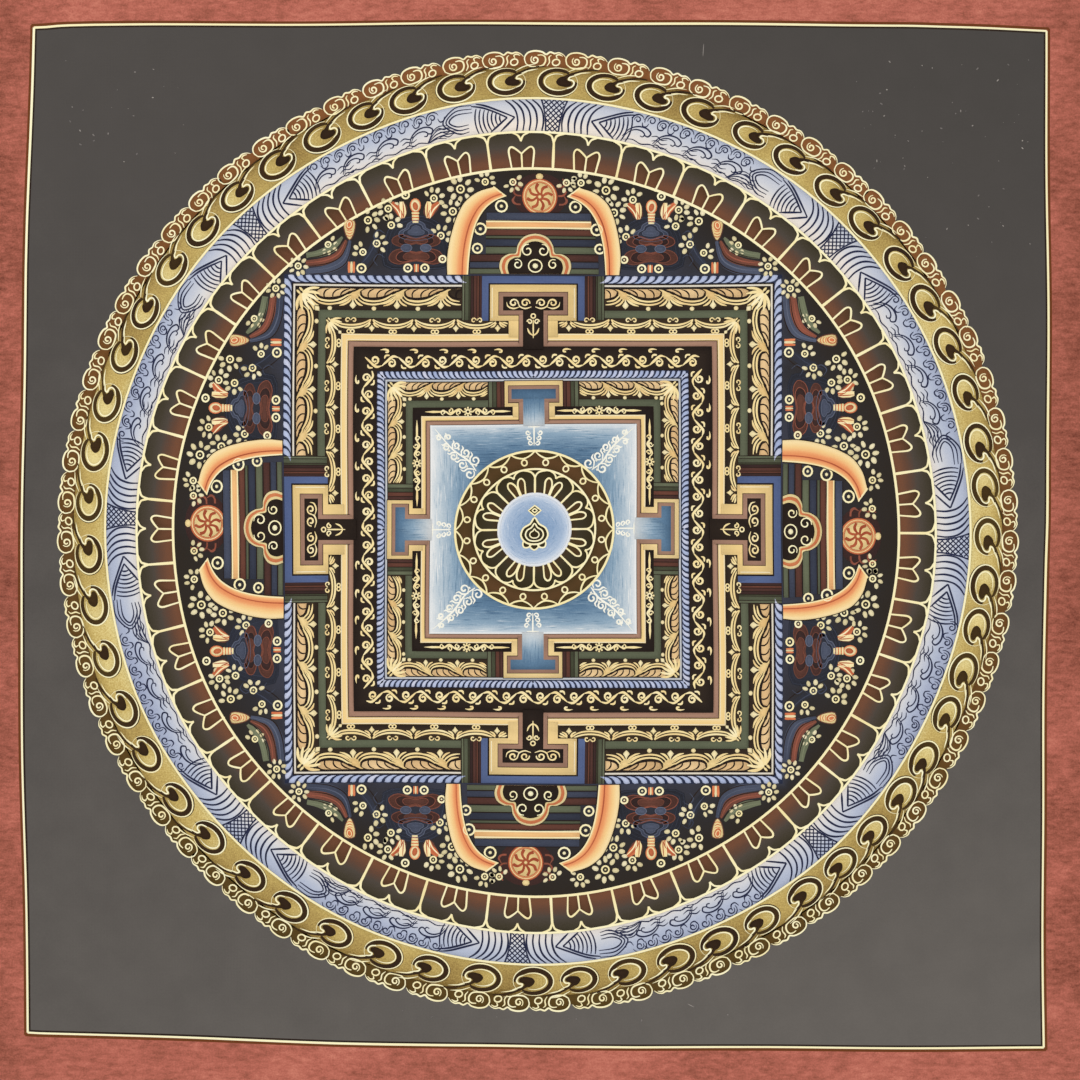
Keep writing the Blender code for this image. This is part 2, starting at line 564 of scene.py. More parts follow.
def outline():
    """The hand-drawn gold line round the ground, dark along its inner edge, with a brown painted shadow along
    its outer one.
    """
    gold = Paint("outline", GOLD)
    shade = Paint("outline_shade", DARK_LINE)
    # a brown painted shadow along the gold line's outer edge
    painted_shadow = Paint("outline_painted_shadow", SIENNA)
    for side in OUTLINE:
        line = resample(smooth(side), 5.0)
        gold.stroke(line, 0.8, 3.2, 0.8)
        shade.stroke(line * 0.9962, 0.9, 1.6, 0.4)
        painted_shadow.stroke(line * 1.0046, 0.95, 1.6, 0.35)
    build(shade, painted_shadow, gold)


def wear():
    """Small scuffs that bare the pale undercoat, most of them at the upper right, and two scratches."""
    paint = Paint("wear_marks", WEAR)
    for corner, wide, tall, count in SCUFFS:
        for _ in range(count):
            at = corner + rng.uniform(0, wide) + 1j * rng.uniform(0, tall)
            if abs(at - OUTER_CENTRE) > CLOUD_OUTER:
                size = rng.uniform(0.12, 0.34)
                speck = oval(at, size * rng.uniform(0.8, 2.4), size, rng.uniform(0, 180), 6)
                paint.fill(speck, 1.9, rng.uniform(0.1, 0.9))
    for start, end in SCRATCHES:
        paint.stroke(straight(start, end, 1.0), 0.3, 1.9, 0.7, (0.3, 0.2))
    paint.build()


# ---------------------------------------------------------------- the four rings round the palace

RING_CENTRE = complex(-0.45, 1.10)
OUTER_CENTRE = complex(0.20, 1.45)   # the clouds and commas are drawn a little off the inner rings' centre
CLOUD_OUTER = 204
CLOUD_RADIUS = 198.2     # middle of the cloud border
CLOUD_INNER = 194.6
CLOUD_UNITS = 71
COMMA_RADIUS = 188.8     # middle of the row of commas
COMMA_INNER = 181.8
COMMAS = 57
LOTUS_OUTER = 168.0
LOTUS_RADIUS = 160.2     # middle of the lotus ring
LOTUS_INNER = 152.7
BLUE_RADIUS = (COMMA_INNER + LOTUS_OUTER) / 2
PETALS = 37
PETAL_START = 2.8        # degrees clockwise from the top to a line between two petals
HATCHINGS = (2.4, 46.0, 91.9, 137.8, 182.7, 225.3, 272.0, 317.0)     # degrees clockwise, in the blue ring


def on_ring(radius, clockwise, centre=RING_CENTRE):
    """Puts strip points on a ring: along runs clockwise from an angle, and outwards from a radius."""
    def place(w):
        angle = math.radians(clockwise) + w.real / radius
        return centre + (radius + w.imag) * 1j * np.exp(-1j * angle)
    return place


def circle(radius, count=180, centre=RING_CENTRE):
    """A circle, clockwise from the top."""
    return centre + radius * 1j * np.exp(-2j * math.pi * np.arange(count) / count)


# One cloud of the border: the line over it and on to the next, its lower curl, the stalk of the small
# curl, and the line up to that stalk.
CLOUD_TOP = (-4.6 - 1.9j, -5.1 + 0.5j, -3.7 + 2.6j, -0.8 + 3.4j, 2.2 + 3.0j, 3.9 + 2.0j, 5.6 + 3.0j,
             7.4 + 2.5j, 9.2 + 2.9j, 11.0 + 2.2j, 12.2 + 1.0j)
CLOUD_LOWER = (-4.6 - 1.9j, -2.6 - 3.1j, 0.2 - 3.2j, 2.6 - 2.6j, 3.7 - 0.9j, 3.5 + 0.9j, 2.2 + 1.7j,
               0.4 + 1.6j)
CLOUD_STALK = (8.6 + 0.5j, 8.2 + 1.6j, 9.4 + 2.1j, 10.8 + 1.5j)
CLOUD_LINK = (4.4 - 2.9j, 5.4 - 1.2j, 5.2 + 0.8j, 6.2 + 1.8j)


def cloud_border():
    """Small clouds in a row, reddish over the top and olive elsewhere, with their gold curls."""
    ground = Paint("cloud_border", CLOUD_GROUND)
    lines = Paint("cloud_lines", GOLD)
    inner, outer = [], []
    for k in range(CLOUD_UNITS):
        turn = 360 * k / CLOUD_UNITS
        place = on_ring(CLOUD_RADIUS, turn + rng.uniform(-0.2, 0.2), OUTER_CENTRE)
        top = smooth(np.array(CLOUD_TOP[1:]) * rng.uniform(0.96, 1.04), per=3)
        inner.append(on_ring(CLOUD_INNER, turn, OUTER_CENTRE)(top.real * CLOUD_INNER / CLOUD_RADIUS + 0j))
        outer.append(place(top))
        pen = lines.on(place)
        pen.stroke(smooth(CLOUD_TOP), 0.62, 3, 0.75, (0.7, 0.3))
        pen.stroke(smooth(CLOUD_LOWER), 0.6, 3, 0.7, (0.7, 0.6))
        pen.stroke(spiral(-0.7 - 0.3j, 1.9, 0.5, 130, 480, 18), 0.58, 3, 0.7, (0.5, 0.8))
        pen.loop(oval(8.2 - 1.2j, 1.6, 1.3, 20, 11), 0.55, 3, 0.7)
        pen.stroke(smooth(CLOUD_STALK), 0.52, 3, 0.65, (0.6, 0.4))
        pen.stroke(smooth(CLOUD_LINK), 0.5, 3, 0.65, (0.5, 0.4))
    inner, outer = np.concatenate(inner), np.concatenate(outer)
    clockwise = -np.angle((outer - RING_CENTRE) / 1j)
    red = 0.95 * np.clip(0.5 + 0.62 * np.cos(clockwise - math.radians(12)), 0, 1)
    ground.between(inner, outer, 1, (red * 0.8, red), closed=True)
    build(ground, lines)


COMMA_A, COMMA_B = 7.2, 4.9          # half axes of the dark ring of a comma, at its middle line
COMMA_END = 7.6 + 0.5j               # where the dark ring ends, at its right
COMMA_TAIL = (2.2 + 1.4j, 4.4 + 2.9j, 7.2 + 4.2j, 9.8 + 5.3j, 12.8 + 6.1j, 16.0 + 6.4j)
COMMA_PUPIL = (-0.6 + 0j, 0.1 + 1.4j, 1.6 + 2.4j, 3.2 + 2.2j, 4.0 + 1.0j, 5.6 + 0.4j, 5.8 - 0.8j, 4.2 - 1.7j,
               2.2 - 1.7j, 0.4 - 1.3j)
COMMA_PALE = (9.4 + 4.3j, 6.8 + 3.1j, 4.9 + 2.3j, 4.5 + 1.3j, 6.0 + 1.1j, 6.8 + 0.0j, 6.0 - 1.5j, 4.0 - 2.4j)
COMMA_HAIRS = (((6.6 + 3.5j, 9.6 + 4.5j, 13.4 + 5.2j), 4), ((4.2 + 4.6j, 8.0 + 6.4j, 12.2 + 7.2j), 4.2))


def comma_ellipse(share, start, end, count):
    """Part of an oval inside or outside a comma's dark ring."""
    turn = np.radians(np.linspace(start, end, count))
    return share * COMMA_A * np.cos(turn) + 1j * (share * COMMA_B + (share - 1) * 1.2) * np.sin(turn)


def comma_angle(k):
    """Degrees clockwise from the top; the commas stand closer together down the right side."""
    even = 360 * k / COMMAS
    return even + 2.4 * math.cos(math.radians(even)) + 1 - math.cos(math.radians(2 * even))


def comma_band():
    """The gold band with its row of dark commas: a tailed pupil in a dark ring that is open at its right; a
    painted sheen brightens band and commas at its left and right.
    """
    ground = Paint("comma_band", OCHRE)
    dark = Paint("commas", COMMA_DARK)
    lines = Paint("comma_lines", GOLD)
    count = 260
    angle = np.arange(count) * 2 * math.pi / count
    # uneven patches of gold, with a painted sheen that brightens the band at its left and right
    patches_and_sheen = 0.08 * np.sin(angle * 13) + 0.06 * np.sin(angle * 35) + 0.26 * np.sin(angle + 0.17) ** 4
    rings = [circle(radius, count, OUTER_CENTRE) for radius in (COMMA_INNER, CLOUD_INNER + 0.6)]
    ground.between(*rings, 1, [tone + patches_and_sheen for tone in (0.62, 0.42, 0.38, 0.2)], closed=True)
    for k in range(COMMAS):
        turn = comma_angle(k)
        # painted sheen: each comma is painted paler near the band's left and right
        painted_sheen = 0.26 * math.sin(math.radians(turn - 10)) ** 4
        place = on_ring(COMMA_RADIUS, turn + rng.uniform(-0.3, 0.3), OUTER_CENTRE)
        size = rng.uniform(0.95, 1.04)

        def yolk(p, painted_sheen=painted_sheen):
            return 0.56 + painted_sheen - 0.035 * p.real

        def sized(w, size=size, place=place):
            return place(w * size)

        ink, pen = dark.on(sized), lines.on(sized)
        ground.on(place).fill(size * comma_ellipse(0.9, 0, 345, 20), 2, yolk)
        ring = np.append(comma_ellipse(1, 52, 350, 28), COMMA_END)
        ink.stroke(ring, 2.75, 3, 0.4 + painted_sheen, (0.3, 0.75), 0.4)
        ink.stroke(smooth(COMMA_TAIL), 1.5, 3.3, 0.4 + painted_sheen, (0.9, 0.3), 0.95)
        ink.fill(smooth(COMMA_PUPIL, True, 3), 3.1, 0.3 + painted_sheen)
        pen.stroke(smooth(COMMA_PALE), 0.6, 4.8, 0.85, (0.3, 0.6))
        pen.stroke(comma_ellipse(0.75, 66, 316, 20), 0.5, 4.2, 0.8, (0.3, 0.3))
        pen.stroke(comma_ellipse(1.15, 62, 392, 28), 0.48, 4, 0.75, (0.3, 0.3))
        for hair, level in COMMA_HAIRS:
            lines.on(place).stroke(smooth(hair), 0.42, level, 0.75, (0.4, 0.2))
    lines.loop(circle(COMMA_INNER, centre=OUTER_CENTRE), 0.8, 4, 0.7)
    build(ground, dark, lines)


BLUE_HALF = 6.6          # half the width of the blue ring
NAVY_LINE = 0.72
FOLD_TIP = 16.2 - 0.8j   # where the folded corner starts, from the middle of the hatching
FOLDS = ((0j, 6.5 + 3.0j, 12 + 5.6j, 16 + 6.9j), (0j, 3.2 - 3.0j, 6.2 - 5.6j),
         (3.2 + 0j, 9.0 + 3.0j, 13.5 + 5.0j, 18 + 6.2j), (3.2 + 0j, 7.6 - 3.4j, 10.6 - 5.6j))
FOLD_BOW = (-6.5j, -0.5 - 2.6j, 0.2 + 1.4j, 2.0 + 4.2j, 4.6 + 6.4j)
WAVE_HILL = (-8.6 - 4.4j, -6.4 - 1.0j, -3.0 + 0.9j, 0.6 + 0.9j, 2.8 - 0.6j, 2.0 - 2.2j, 0.4 - 1.9j)
WAVE_FOOT = (-8 - 5.6j, -4 - 4.8j, -5.8j, 4 - 5.0j, 8 - 5.8j)
RIPPLE = (-1j, 2.2 - 0.3j, 4.4 - 1.2j, 6.8 - 0.4j)
CURL_TAIL = (2.4 + 3.4j, 3.2 + 1.7j, 4.8 + 1.9j, 5.6 + 3.6j)


def on_blue(clockwise):
    """Puts strip points on the blue ring, which is narrower at the bottom of the picture."""
    def place(w):
        ray = 1j * np.exp(-1j * (math.radians(clockwise) + w.real / BLUE_RADIUS))
        inner = RING_CENTRE + LOTUS_OUTER * ray
        outer = OUTER_CENTRE + COMMA_INNER * ray
        return inner + (outer - inner) * (0.5 + w.imag / (2 * BLUE_HALF + 0.8))
    return place


def hatching(pen):
    """The crossed patch at the start of a segment, wide at its outer end."""
    def half(out):
        return 2.8 + 2.5 * ((out + BLUE_HALF) / (2 * BLUE_HALF)) ** 2

    for lean in (-1, 1):
        reach = BLUE_HALF * (lean + 1j)
        for k in range(-6, 7):
            line = straight(2.2 * k - reach, 2.2 * k + reach, 0.7)
            kept = line[np.abs(line.real) < half(line.imag)]
            if len(kept) > 1:
                pen.stroke(kept[[0, len(kept) // 2, -1]], 0.46, 3, 0.35)
        out = np.linspace(-BLUE_HALF, BLUE_HALF, 6)
        pen.stroke(lean * half(out) + 1j * out, 0.6, 3, 0.4)


def folded_corner(pen):
    """Five bowed lines, then a pointed fold with a fan of arcs in it."""
    for k in range(5):
        pen.stroke(smooth(FOLD_BOW) + 4.4 + 2.75 * k, NAVY_LINE, 3, 0.4, (0.7, 0.6))
    for fold in FOLDS:
        pen.stroke(smooth(fold) + FOLD_TIP, NAVY_LINE, 3, 0.4, (0.8, 0.5))
    for k in range(7):
        reach = 3.2 + 1.75 * k
        low = max(-36.0, math.degrees(math.asin(max(-1.0, -5.6 / reach))))
        pen.stroke(arc(FOLD_TIP + 3.2, reach, low, 27 - k, 8), 0.6, 3, 0.4, (0.6, 0.6))


def scrolls(pen, length):
    """Curled clouds over rolling waves, between the two folded corners of a segment."""
    start, end = 33.0, length - 46.0
    curls = (spiral(4.2j, 1.7, 0.5, 200, -430, 14), arc(0.2 + 3.9j, 2.9, 200, 20, 8), smooth(CURL_TAIL))
    for k in range(10):
        s = start + 1.5 + (end - start) * k / 10 + rng.uniform(-0.6, 0.6)
        size = rng.uniform(0.85, 1.1)
        for curl in curls:
            pen.stroke(curl * size + s, 0.5, 3, 0.45, (0.5, 0.4))
    for k in range(4):
        s = start + 6 + (end - start) * k / 4 + rng.uniform(-0.8, 0.8)
        hill = smooth(WAVE_HILL)
        pen.stroke(hill + s, 0.62, 3, 0.4, (0.4, 0.7))
        pen.stroke(hill * 0.72 + s - 1.6 - 1.2j, 0.5, 3, 0.45, (0.4, 0.7))
        for row in range(3):
            at = s + 3.4 - 0.7j + (0.6 - 1.7j) * row
            pen.stroke(smooth(RIPPLE) + at, 0.45, 3, 0.45, (0.4, 0.3))
        pen.stroke(smooth(WAVE_FOOT) + s, 0.45, 3, 0.45, (0.4, 0.4))
    for radius in (2.4, 3.9, 5.4):
        rise = 1j * radius
        loop = smooth((8 + rise, 1 + rise, -0.9 * radius, 1 - rise, 6 - rise))
        pen.stroke(loop + length - 42.0 + 0.4j, 0.55, 3, 0.45, (0.5, 0.5))
    for k in range(4):
        sweep = smooth((-7 - 5.9j, -2 - 4.4j + 1.3j * k, 4 - 4.2j + 1.1j * k, 9 - 5.2j + 0.8j * k))
        pen.stroke(sweep[: 16 - 2 * k] + length - 48.0, 0.42, 3, 0.5, (0.4, 0.3))


def blue_ring():
    """The pale blue ring: eight segments of folded corners, curled clouds and waves, in navy line."""
    ground = Paint("blue_ring", SKY)
    lines = Paint("blue_ring_lines", NAVY)
    count = 240
    angle = 2 * math.pi * np.arange(count) / count
    sweep = 0.1 * np.cos(angle - 0.15) + 0.06 - 0.16 * np.sin(angle) ** 2 + 0.1 * np.cos(8 * angle)
    tones = (0.92 + sweep * 0.3, 0.72 + sweep, 0.5 + sweep, 0.34 + sweep, 0.3 + sweep * 0.8)
    inner, outer = circle(LOTUS_OUTER, count), circle(COMMA_INNER, count, OUTER_CENTRE)
    ground.between(inner, outer, 1, tones, closed=True)
    for start, end in zip(HATCHINGS, (*HATCHINGS[1:], HATCHINGS[0] + 360)):
        pen = lines.on(on_blue(start))
        hatching(pen)
        folded_corner(pen)
        folded_corner(lines.on(on_blue(end)).at(0, -1))
        scrolls(pen, math.radians(end - start) * BLUE_RADIUS)
    build(ground, lines)


PETAL_LOBE = (4.5 - 7.6j, 5.0 - 3.4j, 5.3 - 0.2j, 4.7 + 1.3j, 3.6 + 1.5j, 1.8 + 0.3j, 0 - 1.3j)
PETAL_TIP = (4.4j, 1.0 + 6.0j, 3.0 + 7.6j, -3.0 + 7.6j, -1.0 + 6.0j)
PETAL_FORK = (3.4j, 0.45 + 5.0j, 1.4 + 6.6j, 4.6 + 7.6j)
PETAL_NOTCH = (3.9j, 0.5 + 5.4j, 1.4 + 6.6j, 3.4 + 7.5j)


def lotus_ring():
    """The ring of lotus petals: forked lines between them and a double lobe in each."""
    def lobe_tone(p):
        return 0.5 - 0.08 * p.imag

    ground = Paint("lotus_ring", LOTUS)
    lobes = Paint("lotus_lobes", LOBE)
    lines = Paint("lotus_lines", GOLD)
    count = 222
    tones = (1.0, 0.86, 0.6, 0.3, 0.12, 0.05)
    ground.between(circle(LOTUS_INNER, count), circle(LOTUS_OUTER, count), 1, tones, closed=True)
    for k in range(PETALS):
        turn = PETAL_START + 360 * k / PETALS
        place = on_ring(LOTUS_RADIUS, turn + rng.uniform(-0.45, 0.45))
        lines.on(place).stroke(straight(-7.6j, 4.2j, 2.5), 1.0, 3, 0.6, (1, 0.9))
        ground.on(place).fill(smooth(PETAL_TIP, True, 2), 1.6, 0.0)
        for fork in pair(smooth(PETAL_FORK)):
            lines.on(place).stroke(fork, 0.8, 3, 0.65, (1, 0.5))
        place = on_ring(LOTUS_RADIUS, turn + 180 / PETALS + rng.uniform(-0.3, 0.3))
        lobe = smooth(PETAL_LOBE, per=4) * rng.uniform(0.94, 1.08)
        for hand in (-1, 1):
            pen = lines.on(place).at(0, hand)
            pen.stroke(smooth(PETAL_NOTCH), 0.72, 3, 0.65, (0.9, 0.5))
            lobes.on(place).at(0, hand).fill(np.append(lobe, -7.6j), 2, lobe_tone)
            pen.stroke(lobe, 0.75, 3, 0.65, (0.9, 0.9))
        lines.on(place).stroke(straight(-7.6j, -1.1j, 2.5), 0.75, 3, 0.65)
    lines.loop(circle(LOTUS_INNER), 0.95, 3.4, 0.65)
    lines.loop(circle(LOTUS_OUTER), 0.85, 3.4, 0.75)
    build(ground, lobes, lines)


# ---------------------------------------------------------------- the palace: square walls, gates and court

PALACE_MIDDLE = complex(-1.6, 2.4)
PALACE_STRETCH = (0.990, 1.010)      # the palace is painted a little narrower than it is tall
ROPE = (102.4, 105.7)                # inner and outer half sides of each square band
FESTOON = (91.3, 100.3)
GARLAND = (81.6, 87.8)
INNER_ROPE = (62.9, 66.1)
BORDER = (54.1, 61.5)
CHAIN = (47.6, 50.9)
COURT = 43.7
GATE_EDGE = 30.4         # half the width of the outer gate with its side stripes
INNER_GATE_EDGE = 19.2
SCROLL_LINE = 70.0j      # how far out the walk's running scroll lies, and its small curls
CURL_LINE = 74.3j
PALE_LINES = ((101.0, 101.8, (0.6, 0.6)), (61.8, 62.6, (0.3, 0.3)))
BANDS = (
    ("navy", *ROPE, (0.5, 0.4)), ("dark", 101.8, 102.4, (0.1, 0.1)), ("dark", 100.3, 101.0, (0.1, 0.1)),
    ("dark", *FESTOON, (0.45, 0.6, 0.4)), ("green", 87.8, 91.3, (0.55, 0.5, 0.4)),
    ("dark", *GARLAND, (0.35, 0.6, 0.6)), ("yellow", 78.4, 81.6, (0.45, 0.7, 0.55, 0.75)),
    ("mauve", 76.0, 78.4, (0.35, 0.6)), ("dark", 66.1, 76.0, (0.35, 0.3, 0.2)),
    ("navy", *INNER_ROPE, (0.5, 0.4)), ("navy", 62.6, 62.9, (0.1, 0.1)), ("dark", 61.5, 61.8, (0.1, 0.1)),
    ("dark", *BORDER, (0.5, 0.7, 0.5)), ("green", 50.9, 54.1, (0.5, 0.35)), ("dark", *CHAIN, (0.1, 0.15)),
    ("yellow", 45.5, 47.6, (0.5, 0.65, 0.75)), ("mauve", COURT, 45.5, (0.6, 0.4)),
)
JOINTS = (91.3, 87.8, 81.6, 78.4, 76.0, 54.1, 50.9, 47.6, 45.5, COURT)     # thin dark lines
GLINTS = (81.1, 79.0, 47.2)          # thin pale lines along the walls


def on_side(side):
    """Puts strip points on a side of the palace: 0 is the top, and the others follow clockwise."""
    def place(w):
        z = w * (-1j) ** side
        return PALACE_MIDDLE + PALACE_STRETCH[0] * z.real + 1j * PALACE_STRETCH[1] * z.imag
    return place


def square(half, count=36):
    """A closed square round the palace's middle, clockwise, with count points along each side."""
    along = np.linspace(-1, 1, count, endpoint=False)
    return np.concatenate([on_side(side)(half * (along + 1j)) for side in range(4)])


def square_bands(paints):
    """The flat colour of each wall and walk, with the lines between them."""
    for colour, inner, outer, tones in BANDS:
        paints[colour].between(square(inner), square(outer), 1, tones, closed=True)
    for inner, outer, tones in PALE_LINES:
        paints["pale"].between(square(inner), square(outer), 1.2, tones, closed=True)
    for half in JOINTS:
        paints["joints"].loop(square(half), 0.35, 2, 0.3)
    for half in GLINTS:
        paints["pale"].loop(square(half), 0.3, 2, 0.9)


ROPE_LEAF = (-1.3 + 1.35j, 0.2 + 1.55j, 1.1 + 1.3j, 1.5 + 0.3j, 2.5 - 0.75j, 4.1 - 1.5j, 2.2 - 1.5j,
             0.3 - 0.95j, -0.9 + 0.1j)
ROPE_LEAF_PITCH = 3.7    # the leaf is drawn for this pitch and for a rope this wide
ROPE_LEAF_WIDTH = 3.3


def rope(paint, band, pitch, start):
    """Two runs of leaning leaves along a side, which stop at start on either side of its middle."""
    low, high = band
    leaf = np.array(ROPE_LEAF)
    leaf = (leaf.real * pitch / ROPE_LEAF_PITCH + 1j * leaf.imag) * (high - low) / ROPE_LEAF_WIDTH
    for k in range(int((high - start) / pitch)):
        s = start + pitch * (k + 0.55)
        shape = leaf * rng.uniform(0.94, 1.04) - s + 0.5j * (low + high)
        paint.fill(shape, 2.4, 0.5 + 0.1 * math.sin(s), 0.2)
        paint.fill(-shape.conjugate(), 2.4, 0.5 + 0.1 * math.cos(s), 0.2)


# One repeat of the wide festoon, from palmette to palmette, and the sizes that it is drawn for.
FESTOON_PITCH = 18.6
FESTOON_WIDTH = 9.0
FESTOON_BOAT = (3.5 + 3.0j, 3.9 + 1.4j, 5.4 + 0.5j, 8.6 + 0.2j, 12.6 + 0.7j, 15.4 + 1.9j, 17.2 + 3.2j,
                19.8 + 4.1j, 15.0 + 4.3j, 9.6 + 4.3j, 5.8 + 4.2j)
FESTOON_JOINT = (-2.2 + 1.6j, -0.4 + 3.0j, 1.6 + 3.8j, 4.4 + 4.2j, 3.0 + 3.2j, 3.0 + 1.6j, 1.9 + 0.4j,
                 0.5 - 0.5j, -0.6 - 0.4j, -1.6 + 0.2j)
FESTOON_KITE = (0 + 0.4j, -0.4 - 1.2j, -1.4 - 2.6j, -0.8 - 3.4j, 0 - 4.1j, 0.8 - 3.4j, 1.4 - 2.6j, 0.4 - 1.2j)
FESTOON_FOLDS = (
    (6.6 + 0.4j, 6.4 + 2.0j, 7.2 + 3.4j, 9.0 + 4.2j), (10.2 + 0.4j, 10.2 + 2.0j, 11.4 + 3.4j, 13.6 + 4.2j),
    (13.4 + 0.9j, 13.7 + 2.3j, 15.2 + 3.5j, 17.4 + 4.2j), (0.2 + 3.0j, 1.4 + 3.6j, 2.9 + 4.2j),
    (-2.0 + 1.8j, -0.4 + 2.9j, 1.2 + 3.9j),
)
FESTOON_UPPER = (2.4 + 2.0j, 3.9 + 0.2j, 5.8 - 0.6j, 8.7 - 0.9j, 11.6 - 0.6j, 14.0 + 0.2j, 16.4 + 1.6j,
                 18.0 + 2.2j)
FESTOON_LOWER = (1.6 + 0.8j, 3.0 - 0.7j, 5.2 - 1.8j, 8.5 - 2.25j, 11.6 - 1.8j, 14.2 - 0.8j, 16.8 + 0.9j,
                 18.0 + 1.4j)
FESTOON_TIPS = (
    (0.6 + 0.2j, 1.5 - 1.2j, 2.7 - 2.2j, 4.2 - 2.8j), (18.0 + 0.1j, 16.9 - 1.1j, 15.0 - 2.2j, 12.9 - 2.8j),
    (17.8 + 0.8j, 16.0 - 0.6j, 13.8 - 1.5j, 11.4 - 2.1j),
)
# Its lines: paint, points, width, layer, tone and ends.
FESTOON_LINES = (
    ("joints", FESTOON_FOLDS, 0.66, 3.4, 0.1, (0.8, 0.3)),
    ("joints", (FESTOON_BOAT[:7],), 1.0, 3.4, 0.1, (0.3, 0.3)),
    ("joints", (np.array(FESTOON_UPPER) - 0.7j,), 0.42, 4.4, 0.1, (0.3, 0.3)),
    ("gold", (FESTOON_UPPER, FESTOON_LOWER), 0.72, 3.6, 0.6, (0.4, 0.4)),
    ("gold", FESTOON_TIPS, 0.75, 3.2, 0.6, (0.5, 0.3)),
)


def festoon(paints, band, pitch, end, start):
    """The wide festoon along one half of a side, from a corner towards the middle, cut off at end."""
    gold = paints["gold"]
    tall = (band[1] - band[0]) / FESTOON_WIDTH

    def lay(points, s):
        p = np.asarray(points, complex)
        return s - p.real * pitch / FESTOON_PITCH + 1j * (p.imag * tall + sum(band) / 2)

    def clipped(points, s):
        z = lay(smooth(points, True, 3), s)
        return np.maximum(z.real, end) + 1j * z.imag

    for k in range(int((start - end) / pitch) + 1):
        s = start - pitch * k
        paints["brown"].fill(clipped(FESTOON_BOAT, s), 2.4, 0.72, 0.14)
        if k and s > end + 4:
            gold.fill(clipped(FESTOON_JOINT, s), 2.7, 0.45, 0.12)
        for name, lines, width, level, tone, ends in FESTOON_LINES:
            for line in lines:
                drawn = lay(smooth(line, per=4), s)
                drawn = drawn[drawn.real > end]
                if len(drawn) > 2:
                    paints[name].stroke(drawn, width * tall, level, tone, ends)
        dot = lay(8.9 - 3.9j, s)
        if dot.real > end + 1:
            gold.fill(oval(dot, tall, 0.9 * tall, count=9), 3.2, 0.8)
        if k and s > end + 1.5:
            gold.fill(lay(FESTOON_KITE, s), 4.2, 0.85)


def corner_leaves(pen, half, reach):
    """A fan of narrow leaves in a band's corner, opening on a kite-shaped bud at the inner angle."""
    corner = half * (1 + 1j)
    inwards = -reach * turned(45)
    root = corner + 0.26 * inwards
    for layer, turn in enumerate((-72, 72, -50, 50, -25, 25, 0)):
        way = inwards * turned(turn)
        tip = inwards * turned(0.85 * turn)
        leaf = root + smooth((0.03 * way, 0.34 * way, 0.66 * tip), per=4)
        pen.stroke(leaf, 0.1 * reach, 4.2 + 0.1 * layer, 0.6 + 0.05 * layer, (0.45, 0.35))
    for turn in (-24, 24):
        pen.fill(oval(corner + 0.17 * inwards * turned(turn), 0.1 * reach, 0.045 * reach, 45), 4.2, 0.7)
    kite = np.array((-0.06 + 0.02j, 0.06 + 0.1j, 0.18 + 0j, 0.06 - 0.1j, -0.06 - 0.02j)) * inwards
    pen.fill(kite + corner + inwards, 5.2, 0.85)


GARLAND_SWAGS = (
    (0.5 + 2.7j, 3.0 + 1.4j, 5.8 + 0.6j, 8.9 + 0.35j, 12.0 + 0.6j, 14.8 + 1.4j, 17.3 + 2.7j),
    (0.9 + 1.5j, 3.2 + 0.2j, 5.8 - 0.6j, 8.9 - 0.85j, 12.0 - 0.6j, 14.6 + 0.2j, 16.9 + 1.5j),
)
GARLAND_PITCH = 17.8
GARLAND_START = 86.4
GARLAND_KITE = (0 + 0.5j, -0.6 - 0.3j, -1.3 - 0.8j, -0.6 - 1.5j, 0 - 2.5j, 0.6 - 1.5j, 1.3 - 0.8j, 0.6 - 0.3j)
GARLAND_LEAVES = ((0.5 + 2.7j, 1.2 + 1.4j, 2.9 + 0.5j), (0.7 + 1.3j, 1.5 + 0.1j, 3.0 - 0.6j))


def garland(pen, end):
    """The thin festoon: double swags, kite-shaped buds, a pair of curls over and a ring under each."""
    for k in range(5):
        at = GARLAND_START - GARLAND_PITCH * k + 1j * sum(GARLAND) / 2
        for line in GARLAND_SWAGS:
            drawn = at - smooth(line, per=4).conjugate()
            drawn = drawn[drawn.real > end]
            if len(drawn) > 2:
                pen.stroke(drawn, 0.68, 3, 0.65, (0.5, 0.5))
        centre = at - GARLAND_PITCH / 2
        if centre.real > end + 2:
            for side, curl in zip((-1, 1), pair(spiral(1.35 + 2.35j, 1.15, 0.4, 180, -330, 10))):
                pen.stroke(curl + centre, 0.52, 3.4, 0.65, (0.6, 0.8))
                pen.loop(oval(centre + side * 0.75 - 2.3j, 0.8, 0.75, count=8), 0.5, 3.2, 0.7)
        if k and at.real > end + 2:
            pen.fill(np.array(GARLAND_KITE) + at, 3.4, 0.8)
            for hand in (-1, 1):
                for leaf in GARLAND_LEAVES:
                    pen.at(at, hand).stroke(smooth(leaf, per=3), 0.6, 3.2, 0.6, (0.9, 0.4))


CHAIN_FLOWER = 27.8 + 49.25j
CHAIN_STEM = (1.9 - 0.2j, 3.6 + 1.1j, 5.6 + 0.1j, 7.4 - 1.1j, 9.4 + 0.1j, 11.6 + 0.2j)
CHAIN_CURLS = (3.9 - 0.35j, 7.3 + 0.4j, 10.3 - 0.2j)


def chain(pen):
    """A small flower between two scrolls, with a line tapering away on each side."""
    pen = pen.at(CHAIN_FLOWER)
    pen.loop(oval(0, 0.9, 0.85, count=9), 0.55, 3.6, 0.8)
    for k in range(8):
        pen.fill(oval(1.6 * turned(45 * k), 0.52, 0.46, 45 * k, 6), 3.2, 0.75)
    for hand in (-1, 1):
        half = pen.at(0, hand)
        half.stroke(smooth(CHAIN_STEM, per=3), 0.66, 3, 0.75, (0.6, 0.6))
        for middle in CHAIN_CURLS:
            curl = spiral(middle, 1.12, 0.35, 90 * np.sign(middle.imag), 380, 11)
            half.stroke(curl, 0.56, 3.2, 0.75, (0.6, 0.8))
        half.stroke(straight(11.4, 18.0), 0.85, 3, 0.65, (0.8, 0.15))


